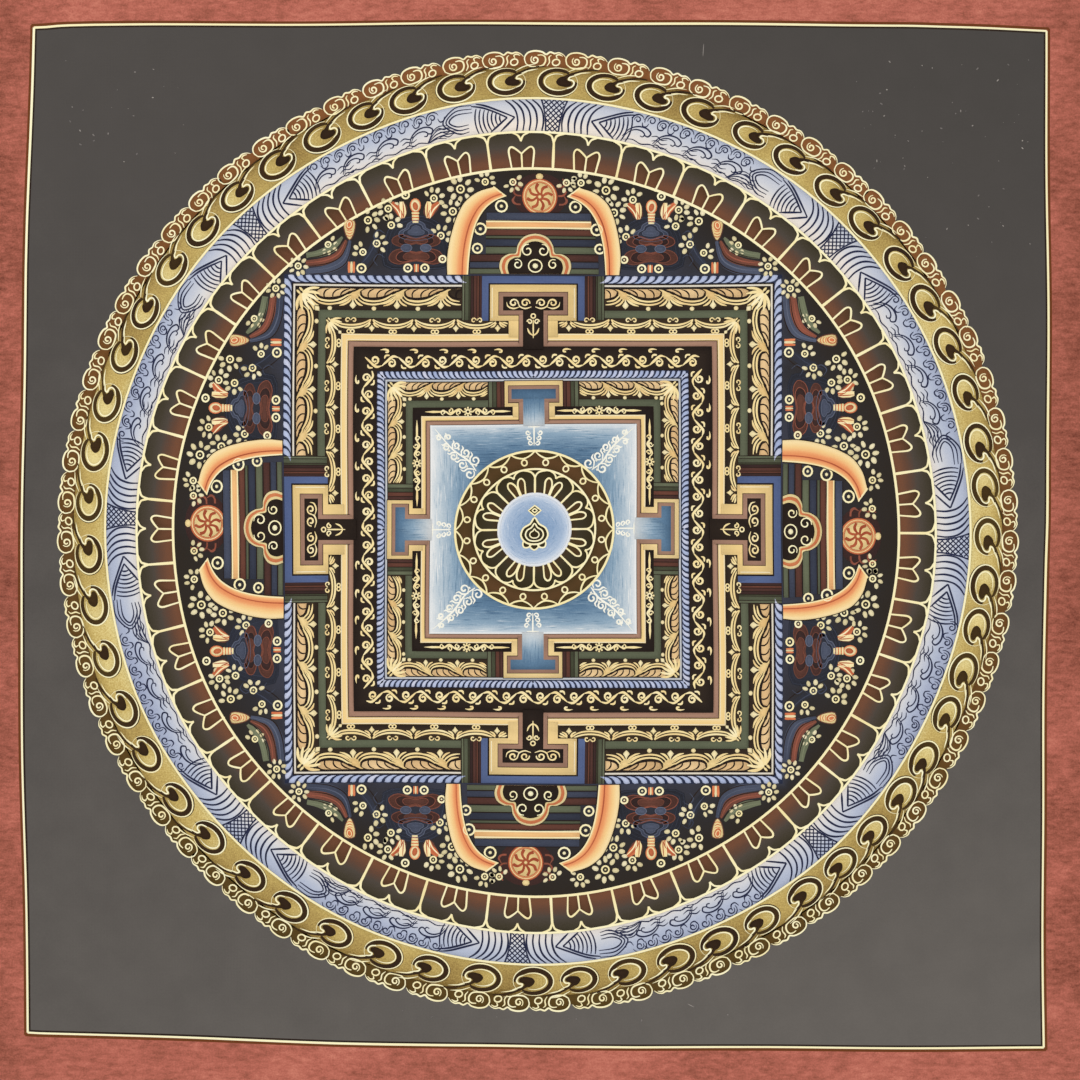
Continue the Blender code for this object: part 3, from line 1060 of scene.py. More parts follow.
def running_scroll(pen, reach):
    """A running scroll: a wavy stem with a curl and a small leaf in each bend."""
    count = int(round(2 * reach / 7.0))
    step = 2 * reach / count
    for k in range(count):
        s = step * k - reach
        up = 1 if k % 2 else -1
        rise = 2.5j * up
        stem = (-0.2 - 0.7 * rise, 0.25 * step, 0.62 * step + 0.85 * rise, step - 0.3 + 0.7 * rise)
        pen.stroke(smooth(stem, per=4) + s, 0.9, 3, 0.72, (0.4, 0.4))
        curl = spiral(0.55 * step - 0.25 * rise, 1.75, 0.5, 90 * up, -up * 430, 13)
        pen.stroke(curl + s, 0.8, 3.2, 0.75, (0.6, 0.8))
        leaf = (0.12 * step + 0.5 * rise, 0.2 * step + rise, 0.42 * step + 1.05 * rise)
        pen.stroke(smooth(leaf, per=3) + s, 0.75, 3, 0.7, (0.3, 0.7))


def loose_curls(pen):
    """Small flat curls in a row, each with a short tail."""
    curl = smooth((2.2 + 0.5j, 0.6 + 0.75j, -0.9 + 0.4j, -0.9 - 0.35j, 0.1 - 0.4j), per=3)
    for k in range(5):
        pen.stroke(curl + 14.0 + 12.0 * k + rng.uniform(-0.6, 0.6), 0.72, 3, 0.7, (0.2, 0.7))


# Upright stripes beside each gate: paint, inner and outer edge, tone.
OUTER_STRIPES = (("maroon", 22.0, 23.2, 0.2), ("maroon", 23.2, 24.1, 0.6), ("maroon", 24.1, 25.6, 0.4),
                 ("maroon", 25.6, 26.8, 0.15), ("green", 26.8, 27.5, 0.1), ("green", 27.5, 29.4, 0.35),
                 ("green", 29.4, 30.4, 0.65))
INNER_STRIPES = (("maroon", 12.4, 13.9, 0.35), ("maroon", 13.9, 15.7, 0.6), ("green", 15.7, 17.4, 0.15),
                 ("green", 17.4, 19.1, 0.6))
# The walls of each gate from the outside in: paint, sizes that gate_shape takes, layer, tone.
OUTER_WALLS = (("blue", (22.0, 105.4, 87.0, 21.9, 86.9), 2.6, 0.55),
               ("joints", (19.2, 102.4, 86.4, 10.9, 81.4), 3.0, 0.2),
               ("yellow", (18.5, 101.8, 86.8, 10.5, 80.0), 4, 0.6))
OUTER_OPENING = (("joints", (14.95, 98.85, 89.0, 6.3, 77.6), 4.5, 0.5),
                 ("mauve", (14.7, 98.6, 89.3, 6.1, 76.6), 5, 0.5),
                 ("joints", (12.9, 96.9, 91.1, 4.4, 76.0), 5.5, 0.1),
                 ("dark", (12.7, 96.7, 91.3, 4.2, 75.0), 6, 0.25))
INNER_WALLS = (("joints", (12.6, 62.1, 50.8, 9.2, 47.4), 2.6, 0.2),
               ("yellow", (12.3, 61.8, 51.1, 8.9, 46.6), 3.2, 0.7),
               ("joints", (10.9, 60.0, 52.6, 6.5, 45.2), 3.6, 0.5),
               ("mauve", (10.7, 59.8, 52.9, 6.3, 44.5), 4.2, 0.5))


def gate_shape(head, top, neck, stem, foot):
    """A gate's outline, as wide as head down to neck, then as wide as stem down to foot."""
    right = [complex(head, top), complex(head, neck), complex(stem, neck), complex(stem, foot)]
    return edges(right + [-corner.conjugate() for corner in right[::-1]], 5.0)


def gate_walls(paints, walls):
    """Fills gate shapes, one over the other."""
    for colour, sizes, level, tone in walls:
        paints[colour].fill(gate_shape(*sizes), level, tone)


def side_stripes(paints, stripes, low, high):
    """Narrow upright stripes beside a gate, mirrored to both sides of it."""
    for colour, inner, outer, tone in stripes:
        for hand in (-1, 1):
            half = paints.at(0, hand)
            half[colour].fill(box(inner, outer, low, high), 2.2, tone)
            half["joints"].stroke(straight(outer + 1j * low, outer + 1j * high), 0.3, 3.2, 0.3)


def outer_gate(paints):
    """A gate in the outer wall: blue frame, yellow and mauve walls round a dark opening."""
    side_stripes(paints, OUTER_STRIPES, 87.2, 105.5)
    gate_walls(paints, OUTER_WALLS)
    for line in pair(straight(17.6 + 88j, 17.6 + 100.6j)):
        paints["pale"].stroke(line, 0.35, 5, 0.9)
    gate_walls(paints, OUTER_OPENING)
    gate_ornament(paints["gold"])


def gate_ornament(pen):
    """A running scroll across a gate's head, and a small flower on a stem below it."""
    for hand in (-1, 1):
        half = pen.at(0, hand)
        for s in (3.4, 8.4):
            curl = spiral(0, 1.75, 0.5, 190, -420, 14)
            half.stroke(curl.real * 1.15 + 1j * curl.imag + s + 94.2j, 0.72, 7, 0.75, (0.7, 0.8))
            link = smooth((s - 2.6 + 92.6j, s + 91.9j, s + 2.4 + 92.8j, s + 3.0 + 94.6j), per=4)
            half.stroke(link, 0.6, 7, 0.75, (0.4, 0.3))
        half.stroke(smooth((80.6j, 1.6 + 81.8j, 2.5 + 83.8j), per=4), 0.7, 7, 0.7, (0.6, 0.3))
        half.stroke(spiral(1.5 + 86.4j, 1.15, 0.4, 0, 380, 12), 0.6, 7, 0.75)
    pen.stroke(straight(79.6j, 87.2j, 2.0), 0.6, 7, 0.75, (0.5, 0.8))
    pen.loop(oval(88.8j, 0.95, 0.9, count=10), 0.6, 7, 0.8)


def inner_gate(paints):
    """A gate in the inner wall, which opens on the court."""
    def shading(p):
        return 0.06 + 0.8 * np.clip((60 - p.imag) / 16, 0, 1) ** 1.5

    side_stripes(paints, INNER_STRIPES, 51.0, 61.5)
    gate_walls(paints, INNER_WALLS)
    paints["court"].fill(gate_shape(9.4, 58.4, 54.3, 4.5, 43.0), 5, shading)
    for _ in range(26):
        s = rng.uniform(-4.0, 4.0)
        top = rng.uniform(50.0, 57.5)
        hatch = straight(complex(s, top), complex(s * 1.05, top - rng.uniform(3.5, 7.0)), 3.0)
        paints["court"].stroke(hatch, 0.28, 5.6, 0.12 + 0.05 * (57 - top), (0.3, 0.2))


# The court's tones at shares of its half side, on its upper and lower sides and on its left and right ones.
COURT_SHARES = (1.0, 0.96, 0.9, 0.82, 0.72, 0.6, 0.45, 0.3)
COURT_TONES = ((0.92, 0.72, 0.5, 0.34, 0.2, 0.1, 0.04, 0.04), (0.98, 0.86, 0.72, 0.58, 0.42, 0.24, 0.1, 0.06))


def court(paint):
    """The court: white along its edges and deep blue round the lotus, shaded with fine strokes."""
    count = 20
    along = np.abs(np.linspace(-1, 1, count, endpoint=False)) ** 6
    rings = [square(COURT * share, count) for share in COURT_SHARES]
    tones = [np.concatenate([tone + 0.35 * along * (1 - tone) for tone in both] * 2)
             for both in zip(*COURT_TONES)]
    for k in range(1, len(rings)):
        paint.between(rings[k], rings[k - 1], 1, (tones[k], tones[k - 1]), closed=True, skirts=False)
    for side in range(4):
        pen = paint.on(on_side(side))
        for _ in range(420):
            depth = rng.uniform(0.5, 0.97)
            out = COURT * depth
            s = rng.uniform(-0.97, 0.97) * out
            length = rng.uniform(2.5, 8.0)
            tone = np.interp(depth, COURT_SHARES[::-1], COURT_TONES[side % 2][::-1]) + rng.uniform(-0.2, 0.2)
            hatch = straight(complex(s - length / 2, out), complex(s + length / 2, out), 3.0)
            hatch = hatch[np.abs(hatch.real) < 0.99 * out]
            if len(hatch) > 1:
                pen.stroke(hatch, 0.28, 2, tone, (0.2, 0.2))
        pen.stroke(straight(complex(-COURT, COURT - 0.3), complex(COURT, COURT - 0.3)), 0.7, 2.4, 1.0)


# Where ropes and festoons run: band, pitch, and where they stop short of the middle of a side; a festoon
# also has the place of its palmette in the corner. Then the bands with leaves in their corners.
ROPES = ((ROPE, 3.7, GATE_EDGE), (INNER_ROPE, 2.25, 0.0))
FESTOONS = ((FESTOON, FESTOON_PITCH, GATE_EDGE + 0.4, 95.3), (BORDER, 13.4, INNER_GATE_EDGE + 0.3, 58.6))
CORNERS = ((FESTOON, 11.5), (BORDER, 9.4), (GARLAND, 7.8))


def palace():
    """Four sides of square bands with their ropes, festoons and gates, round the court."""
    paints = palette("palace_", navy=NAVY_GROUND, dark=EARTH, green=GREEN, yellow=YELLOW, mauve=MAUVE,
                     maroon=MAROON, blue=GATE_BLUE, pale=PALE, joints=DARK_LINE, court=COURT_BLUE,
                     rope=ROPE_PALE, brown=BRONZE, gold=WARM_GOLD)
    square_bands(paints)
    court(paints["court"])
    for side in range(4):
        sided = paints.on(on_side(side))
        outer_gate(sided)
        inner_gate(sided)
        for run in ROPES:
            rope(sided["rope"], *run)
        for hand in (1, -1):
            half = sided.at(0, hand)
            gold = half["gold"]
            for run in FESTOONS:
                festoon(half, *run)
            garland(gold, 10.8)
            chain(gold)
            loose_curls(gold.at(CURL_LINE))
            if hand > 0:
                for band, reach in CORNERS:
                    corner_leaves(gold, band[1], reach)
        running_scroll(sided["gold"].at(SCROLL_LINE), 66.4 if side % 2 else 71.0)
    build(*paints.values())


# ---------------------------------------------------------------- the dark field round the palace

def field_ground():
    """The field behind gate crests and flowers, from the palace's outer edge to the lotus ring."""
    paint = Paint("field_ground", FIELD)
    inner = square(ROPE[1] - 0.8)
    outward = (inner - RING_CENTRE) / np.abs(inner - RING_CENTRE)
    at = np.arange(len(inner))
    cloudy = 0.14 * np.sin(at * 0.55) + 0.08 * np.sin(at * 1.7)
    tones = [tone + cloudy * (0.2 + tone) for tone in (0.85, 0.7, 0.55, 0.4, 0.2, 0.05)]
    paint.between(inner, RING_CENTRE + LOTUS_INNER * outward, 0.95, tones, closed=True, skirts=False)
    paint.build()


HORN_OUTER = (37.0 + 106.0j, 37.1 + 112.1j, 36.1 + 119.3j, 34.4 + 125.6j, 32.6 + 130.4j, 29.4 + 135.9j,
              23.8 + 140.1j, 17.0 + 142.2j)
HORN_INNER = (27.8 + 106.0j, 27.3 + 112.9j, 26.4 + 119.3j, 24.8 + 125.4j, 22.6 + 130.0j, 19.8 + 133.6j,
              16.0 + 136.4j, 11.6 + 138.2j)
HORN_TONES = (0.97, 0.4, 0.08, 0.2, 0.5, 0.7, 0.92, 0.97)
# Lines along a horn: share of its width from its inner edge, paint, width, tone.
HORN_LINES = ((0, "shade", 0.35, 0.3), (1, "shade", 0.35, 0.3), (0.3, "orange", 0.5, 0.2),
              (0.05, "bar", 0.5, 0.9))
HORN_SHIFT = 3.0         # how far the clockwise horn's inner edge and tip lie further out
TREFOIL_MIDDLE = 0.8 + 106.3j
TREFOIL = (-14.6 + 0j, -15.5 + 3.1j, -14.4 + 6.5j, -11.2 + 8.3j, -8.4 + 8.6j, -7.6 + 11.9j, -5.0 + 15.3j,
           0 + 16.7j, 5.0 + 15.3j, 7.6 + 11.9j, 8.4 + 8.6j, 11.2 + 8.3j, 14.4 + 6.5j, 15.5 + 3.1j, 14.6 + 0j)
TREFOIL_LAYERS = (("orange", 0.93, 0.95, 4.3, 0.55), ("bar", 0.84, 0.87, 4.6, 0.7),
                  ("dark", 0.77, 0.81, 4.9, 0.25))
# The crest's layered steps: colour, left, right, lower and upper edge, tone.
CREST_STEPS = (
    ("green", -27.2, 28.0, 106.3, 108.4, 0.5), ("slate", -27.2, 28.0, 108.7, 111.2, 0.45),
    ("maroon", -27.0, 27.8, 111.5, 114.2, 0.42), ("green", -20.4, 26.6, 114.6, 117.4, 0.6),
    ("slate", -20.4, 26.6, 117.7, 120.6, 0.3), ("green", -20.4, 26.6, 120.9, 122.0, 0.35),
    ("maroon", -20.4, 25.6, 122.2, 124.6, 0.6), ("horn", -20.2, 24.8, 125.0, 128.2, 0.5),
    ("slate", -20.0, 24.6, 128.5, 131.6, 0.5),
)
WHEEL = 2.8 + 138.2j     # the bands, wheel and rings are painted a little clockwise of the gate's middle
CREST_MIDDLE = 2.2
CREST_RINGS = ((15.8 + 134.2j, 2.4), (24.9 + 124.8j, 2.4), (26.2 + 116.8j, 2.0))


def ringlet(pen, centre, radius):
    """A small cream ring with a dot in it."""
    pen.loop(oval(centre, radius, radius * 0.95, count=12), 0.7, 5.2, 0.7)
    pen.fill(oval(centre, radius * 0.32, radius * 0.3, count=6), 5.2, 0.7)


def wheel(paints):
    """The crest's eight-spoked wheel, with dim flames beside it and a knob on top."""
    bar, orange = paints["bar"], paints["orange"]
    paints["maroon"].fill(oval(0.4j, 11.8, 9.4, count=22), 1.5, 0.25)
    for hand in (-1, 1):
        for k in range(3):
            half = paints.at(hand * (7.6 + 0.3 * k) + 1j * (4.0 - 3.6 * k), hand)
            tongue = smooth((0, 2.0 + 0.2j, 3.2 + 1.6j, 2.2 + 3.6j), per=4)
            half["maroon"].stroke(tongue, 1.1, 2.2, 0.85, (1.0, 0.3))
            half["orange"].stroke(tongue[:9], 0.4, 2.4, 0.0, (0.6, 0.3))
    orange.fill(oval(0, 7.3, 7.3, count=26), 2.2, 0.8)
    orange.loop(oval(0, 7.3, 7.3, count=28), 0.5, 2.8, 0.2)
    bar.fill(oval(0, 5.9, 5.9, count=24), 2.3, 0.55)
    bar.loop(oval(0, 6.7, 6.7, count=28), 0.45, 2.8, 0.75)
    orange.loop(oval(0, 5.8, 5.8, count=26), 0.5, 2.7, 0.05)
    for k in range(8):
        spoke = turned(45 * k + 10) * smooth((1.3, 2.6 + 0.7j, 4.0 + 0.8j, 5.5 - 0.3j), per=4)
        orange.stroke(spoke, 1.15, 3.4, 0.0, (0.9, 1.1))
    orange.fill(oval(0, 1.7, 1.7), 3.0, 0.2)
    bar.fill(oval(0, 0.7, 0.7, count=8), 3.4, 0.6)
    bar.fill(oval(8.4j, 1.6, 1.3, count=9), 2.6, 0.6)


def crest(paints):
    """The crest over an outer gate: stepped bands, a dark trefoil, a wheel and two curved horns."""
    wheel(paints.at(WHEEL))
    for hand in (-1, 1):
        flower(paints, WHEEL + hand * 11.4 + 6.0j, 4, 9, 0.78)
    for colour, left, right, low, high, tone in CREST_STEPS:
        paints[colour].fill(box(left, right, low, high), 3.4, tone)
        for edge, width in ((high, 0.32), (low, 0.26)):
            paints["shade"].stroke(straight(complex(left, edge), complex(right, edge)), width, 4.0, 0.2)
    for low in (125.3, 127.9):
        paints["bar"].stroke(straight(-20.2 + 1j * low, 24.6 + 1j * low), 0.85, 4.2, 0.85)
    dome = paints.at(TREFOIL_MIDDLE)
    arch = smooth(TREFOIL, per=3)
    dome["bar"].fill(arch, 4.0, 0.75)
    for colour, wide, tall, level, tone in TREFOIL_LAYERS:
        dome[colour].fill(arch.real * wide + 1j * arch.imag * tall, level, tone)
    dome["shade"].stroke(arch, 0.32, 4.4, 0.3)
    dome["lines"].loop(oval(3.3j, 2.9, 2.6, count=16), 0.8, 5.6, 0.75)
    dome["lines"].fill(oval(3.3j, 1.2, 1.1, count=8), 5.6, 0.8)
    inner, outer = smooth(HORN_INNER, per=4), smooth(HORN_OUTER, per=4)
    for hand in (-1, 1):
        for curl in (spiral(3.3 + 9.6j, 2.7, 0.7, 100, -420, 15), spiral(7.6 + 3.9j, 2.2, 0.7, 60, 420, 14)):
            dome["lines"].at(0, hand).stroke(curl, 0.85, 5.6, 0.75, (0.6, 0.8))
        half = paints.at(0, hand)
        shift = HORN_SHIFT if hand > 0 else 0.0
        near = inner + shift
        far = outer + shift * np.linspace(0, 1, len(outer))
        half["horn"].between(near, far, 4.6, HORN_TONES)
        for share, colour, width, tone in HORN_LINES:
            half[colour].stroke(near + (far - near) * share, width, 5.8, tone)
        half["bar"].stroke(straight(near[-1], far[-1], 2.0), 0.6, 5.8, 0.8)
        for centre, radius in CREST_RINGS:
            ringlet(paints["lines"], CREST_MIDDLE + hand * centre.real + 1j * centre.imag, radius)


# Flowers of one half of a side: centre, first and last petal of eight, size. Others mirror and turn these.
FLOWERS = (
    (20.4 + 144.2j, 0, 5, 0.8), (31.0 + 141.2j, 0, 8, 1.0), (34.4 + 132.0j, 0, 8, 0.92),
    (42.4 + 137.4j, 0, 5, 0.85), (39.6 + 122.0j, 0, 5, 0.85), (60.6 + 126.4j, 1, 5, 0.85),
    (61.8 + 133.2j, -2, 4, 0.85), (66.8 + 118.8j, 2, 6, 0.85), (70.4 + 128.4j, 1, 6, 0.9),
    (72.6 + 115.2j, -1, 2, 0.8), (87.2 + 118.2j, 2, 7, 0.75), (99.8 + 109.2j, 0, 8, 0.76),
)
FIELD_RINGS = ((46.4 + 108.7j, 1.6), (53.6 + 108.7j, 1.6), (54.4 + 138.8j, 1.5), (73.2 + 108.5j, 1.8),
               (38.9 + 112.4j, 1.4))
TWIN_BARS = ((50.0 + 108.7j, 0.7), (77.4 + 108.9j, 1.0))
TREE_MIDDLE = 50.1 + 118.6j
TREE_DOME = (-6.6 + 2.6j, -7.0 + 5.0j, -4.2 + 6.6j, -3.4 + 8.4j, 0 + 9.8j, 3.4 + 8.4j, 4.2 + 6.6j, 7.0 + 5.0j,
             6.6 + 2.6j, 0 + 1.4j)
TREE_COLLAR = (-9.8 + 0.2j, -9.6 + 2.6j, -5.6 + 3.9j, 0 + 2.4j, 5.6 + 3.9j, 9.6 + 2.6j, 9.8 + 0.2j,
               5.2 - 1.2j, 0 + 0.2j, -5.2 - 1.2j)
TREE_SKIRT = (-11.4 - 6.4j, -10.0 - 3.2j, -5.6 - 2.0j, 0 - 3.4j, 5.6 - 2.0j, 10.0 - 3.2j, 11.4 - 6.4j,
              7.4 - 8.3j, 0 - 6.9j, -7.4 - 8.3j)
TREE_LAYERS = (("slate", TREE_DOME, 0.5), ("maroon", TREE_COLLAR, 0.4), ("maroon", TREE_SKIRT, 0.45))
TREE_CLOUD = (-15.4 - 9j, -15 + 1j, -11 + 8j, -3 + 11.8j, 7 + 10.4j, 12.6 + 5j, 14.0 - 9j, 0 - 10.6j)
# Crescent leaves from the outermost in: paint, points, width, layer, tone.
CRESCENTS = (
    ("slate", (66 + 123j, 69 + 115j, 74 + 108.6j), 7.5, 1.4, 0.12),
    ("slate", (78.0 + 120j, 80.6 + 111.9j, 87.2 + 108.1j, 96.6 + 107.0j), 3.6, 2.0, 0.5),
    ("maroon", (79.6 + 120j, 82.8 + 114.2j, 88.6 + 111.3j, 96.6 + 110.2j), 3.0, 2.4, 0.75),
    ("green", (81.2 + 121.4j, 85.2 + 117.0j, 90.6 + 114.6j, 96.4 + 113.6j), 2.9, 2.8, 0.75),
)
CRESCENT_BUD = (76.2 + 128.0j, 80.2 + 128.0j, 80.0 + 123.6j, 78.2 + 120.4j, 76.4 + 123.6j)


def flower(paints, centre, first, last, size):
    """A ring with pointed oval petals round it; first and last say which petals show."""
    paints["lines"].loop(oval(centre, 1.55 * size, 1.55 * size), 0.62, 2.8, 0.6)
    paints["lines"].fill(oval(centre, 0.45, 0.45, count=5), 2.4, 0.5)
    turn = rng.uniform(0, 45)
    for k in range(first, last):
        angle = turn + 45 * k + rng.uniform(-5, 5)
        petal = oval(0, 1.5 * size, 1.05 * size * rng.uniform(0.85, 1.15))
        petal = petal.real * (1 + 0.12 * np.sign(petal.real)) + 1j * petal.imag
        petal = petal * turned(angle + rng.uniform(-25, 25)) + 4.15 * size * turned(angle)
        paints["petals"].fill(petal + centre, 2.6, 0.6, 0.25)


def tree(paints):
    """A dark layered tree under a striped bud between two pairs of leaves."""
    slate = paints["slate"]
    cloud = smooth(TREE_CLOUD, True, 3)
    slate.fill(cloud, 1.4, 0.12)
    for k in range(3):
        slate.loop(cloud * (0.96 - 0.11 * k), 0.36, 1.8, 0.36)
    for colour, outline, tone in TREE_LAYERS:
        outline = smooth(outline, True, 3)
        middle = 1j * outline.imag.mean()
        for share, step in ((1.0, 0.0), (0.74, -0.3), (0.48, 0.1)):
            shape = (outline - middle) * share + middle
            paints[colour].fill(shape, 3.6 - share, tone + step)
            paints[colour].loop(shape, 0.34, 3.6, tone + 0.32)
    for side in (-1, 1):
        knot = oval(side * 4.1 - 1.6j, 2.3, 1.5, count=12)
        slate.fill(knot, 4.0, 0.65)
        slate.loop(knot, 0.36, 4.6, 0.95)
    finial(paints.at(0.2 + 13.7j))


def finial(paints):
    """A round bud on a banded stalk, between two pairs of spread leaves."""
    bar, orange = paints["bar"], paints["orange"]
    orange.stroke(straight(-0.2j, -4.8j, 2.0), 2.6, 3.2, 0.5)
    for k in range(4):
        bar.fill(box(-1.6 + 0.12 * k, 1.6 - 0.12 * k, -1.35 - 1.2 * k, -0.6 - 1.2 * k, 2.0), 4.2, 0.75)
    bar.fill(oval(2.2j, 2.25, 2.9, count=14), 4.0, 0.8)
    orange.loop(oval(2.2j, 2.1, 2.7, count=14), 0.5, 4.8, 0.55)
    orange.fill(oval(1.9j, 1.15, 1.75, -14, 11), 4.8, 0.3)
    for hand in (-1, 1):
        for lean, top, colour, tone in ((4.6, 6.4, "orange", 0.35), (0.4, 6.8, "bar", 0.75)):
            blade = smooth((0, 0.3 * lean + 0.5j * top, lean + 1j * top), per=4)
            blade = hand * (blade.real + 5.4) + 1j * blade.imag - 3.0j
            paints["maroon"].stroke(blade, 3.6, 2.6, 0.5, (0.5, 0.5))
            paints[colour].stroke(blade, 2.7, 3.4, tone, (0.45, 0.5))
            bar.stroke(blade + hand * 0.8, 0.5, 4.4, 0.85, (0.5, 0.3))
            orange.stroke(blade - hand * 0.5, 0.4, 4.4, 0.15, (0.5, 0.3))


def crescent_leaves(paints):
    """Crescent leaves under a tall bud, sweeping towards the palace's corner."""
    for colour, line, width, level, tone in CRESCENTS:
        curve = smooth(line)
        paints[colour].stroke(curve, width, level, tone, (0.35, 0.7))
        paints["shade"].stroke(curve - 0.42 * width * (0.6 + 0.8j), 0.4, level + 0.8, 0.3, (0.3, 0.3))
        paints[colour].stroke(curve + 0.1j * width, 0.45, level + 1.4, tone + 0.28, (0.3, 0.3))
    for k in range(3):
        wave = smooth((63.4 + 123j, 66 + 124.4j, 68 + 122j, 66.4 + 119.6j), per=4) - 5j * k
        paints["slate"].stroke(wave, 0.42, 2.2, 0.4, (0.4, 0.4))
    bud = smooth(CRESCENT_BUD, True, 3)
    paints["maroon"].loop(bud, 0.8, 3.0, 0.6)
    paints["bar"].fill(bud, 3.2, 0.6)
    paints["orange"].fill(oval(78.2 + 126.4j, 1.5, 2.1, 14, 12), 3.8, 0.5)
    paints["bar"].loop(oval(78.3 + 126.6j, 0.9, 1.3, 14), 0.45, 4.6, 0.8)
    for k in range(3):
        line = smooth((76.9 + 124.4j, 78.2 + 123.9j, 79.5 + 124.4j), per=3) - 1.1j * k
        paints["orange"].stroke(line, 0.4, 4.2, 0.4, (0.5, 0.5))


def twin_bars(paints, size):
    """Short upright orange bars beside each other, with cream between them."""
    for k, colour in ((-1, "orange"), (0, "petals"), (1, "orange")):
        bar = size * smooth((k - 2.3j, 0.95 * k, 1.1 * k + 2.3j), per=3)
        paints[colour].stroke(bar, size, 3.2, 0.5, (0.7, 0.6))


def field():
    """Crests over the gates, and trees, flowers, rings and crescent leaves between them."""
    paints = palette("field_", green=GREEN, slate=SLATE, maroon=MAROON, bar=WARM_GOLD, orange=ORANGE,
                     horn=HORN, dark=EARTH, shade=DARK_LINE, lines=GOLD, petals=PETAL_CREAM)
    field_ground()
    for side in range(4):
        sided = paints.on(on_side(side))
        crest(sided)
        for hand in (1, -1):
            half = sided.at(0, hand)
            for centre, first, last, size in FLOWERS:
                flower(half, centre, first, last, size)
            for centre, radius in FIELD_RINGS:
                ringlet(half["lines"], centre, radius)
            tree(half.at(TREE_MIDDLE))
            crescent_leaves(half)
            for centre, size in TWIN_BARS:
                twin_bars(half.at(centre), size)
    build(*paints.values())


# ---------------------------------------------------------------- the lotus in the court

LOTUS_MIDDLE = complex(-1.26, 2.1)
LOTUS_RIM = 33.2
LOTUS_EDGE = 25.5
LOTUS_PETALS = 20.5      # middle of the row of petals
SEED_DISC = 15.4
RIM_ARCS = 20
COURT_PETALS = 8
SMALL_LOBE = (2.9 - 5.1j, 3.5 - 1.6j, 3.6 + 0.4j, 2.7 + 1.8j, 1.4 + 1.3j, 0.35 - 1.2j, 0.3 - 5.1j)
SMALL_TIP = (1.8j, 0.9 + 3.4j, 3.0 + 4.9j, -3.0 + 4.9j, -0.9 + 3.4j)
SMALL_FORK = (1.4j, 0.6 + 2.8j, 1.8 + 4.0j, 4.2 + 4.8j)
SMALL_NOTCH = (2.5j, 0.5 + 3.5j, 1.5 + 4.4j, 3.0 + 4.9j)
DISC_RADII = (0.2, 4.0, 8.5, 12.0, 14.2, 15.6)
DISC_TONES = (0.3, 0.32, 0.4, 0.52, 0.78, 1.0)


def court_lotus():
    """Eight petals round a pale blue disc, in a rim of shallow swags, each over a small ring."""
    brown = Paint("lotus_rim", RIM_BROWN)
    olive = Paint("lotus_petals", OLIVE)
    lobes = Paint("lotus_inner_lobes", OLIVE_LOBE)
    lines = Paint("court_lotus_lines", GOLD)
    rim, edge, seeds = (circle(radius, 80, LOTUS_MIDDLE) for radius in (LOTUS_RIM, LOTUS_EDGE, SEED_DISC))
    turn = np.arange(80) * 2 * math.pi / 80
    mottle = 0.2 * np.cos(2 * turn - 0.8) + 0.08 * np.sin(14 * turn)
    brown.between(edge, rim, 3, (0.4 + mottle, 0.62 + mottle, 0.35 + mottle), closed=True)
    olive.between(seeds, edge, 3, (0.75, 0.5, 0.25, 0.1), closed=True)
    reach = math.pi * LOTUS_RIM / RIM_ARCS
    dip = smooth((-reach - 0.1j, -0.6 * reach - 1.9j, -2.9j, 0.6 * reach - 1.9j, reach - 0.1j), per=3)
    for k in range(RIM_ARCS):
        place = on_ring(LOTUS_RIM, 360 * (k + 0.5) / RIM_ARCS, LOTUS_MIDDLE)
        brown.on(place).fill(dip, 3.6, 0.15)
        lines.on(place).stroke(dip, 0.62, 5, 0.6, (0.8, 0.8))
        lines.on(place).loop(oval(-4.7j, 1.35, 1.25), 0.6, 5, 0.6)
    for k in range(COURT_PETALS):
        between, within = (on_ring(LOTUS_PETALS, 360 * at / COURT_PETALS, LOTUS_MIDDLE)
                           for at in (k, k + 0.5))
        lines.on(between).stroke(straight(-5.1j, 1.8j, 2.0), 0.75, 5, 0.6)
        olive.on(between).fill(smooth(SMALL_TIP, True, 2), 3.5, 0.0)
        for hand in (-1, 1):
            pen = lines.on(within).at(0, hand)
            lobe = smooth(SMALL_LOBE, per=3)
            lines.on(between).at(0, hand).stroke(smooth(SMALL_FORK, per=3), 0.66, 5, 0.6, (1, 0.6))
            pen.stroke(smooth(SMALL_NOTCH, per=3), 0.62, 5, 0.6, (1, 0.6))
            lobes.on(within).at(0, hand).fill(lobe, 3.6, 0.3)
            pen.stroke(lobe, 0.64, 5, 0.65)
    disc = seed_disc()
    lines.loop(rim, 0.85, 5, 0.65)
    lines.loop(edge, 0.75, 5, 0.65)
    jewel(olive.at(LOTUS_MIDDLE - 1.6j), lines.at(LOTUS_MIDDLE - 1.6j))
    build(brown, olive, lobes, lines, disc)


def seed_disc():
    """The pale blue disc at the lotus's middle, shaded with short arcs."""
    disc = Paint("seed_disc", DISC_BLUE)
    rings = [circle(radius, 48, LOTUS_MIDDLE) for radius in DISC_RADII]
    last = len(rings) - 1
    for k in range(last):
        disc.between(rings[k], rings[k + 1], 4.2, DISC_TONES[k:k + 2], closed=True, skirts=k + 1 == last)
    for _ in range(240):
        radius = rng.uniform(3, 14.6)
        start = rng.uniform(0, 360)
        tone = np.interp(radius, DISC_RADII, DISC_TONES) + rng.uniform(-0.25, 0.2)
        hatch = arc(LOTUS_MIDDLE, radius, start, start + rng.uniform(8, 26), 4)
        disc.stroke(hatch, 0.26, 4.9, tone, (0.3, 0.3))
    return disc


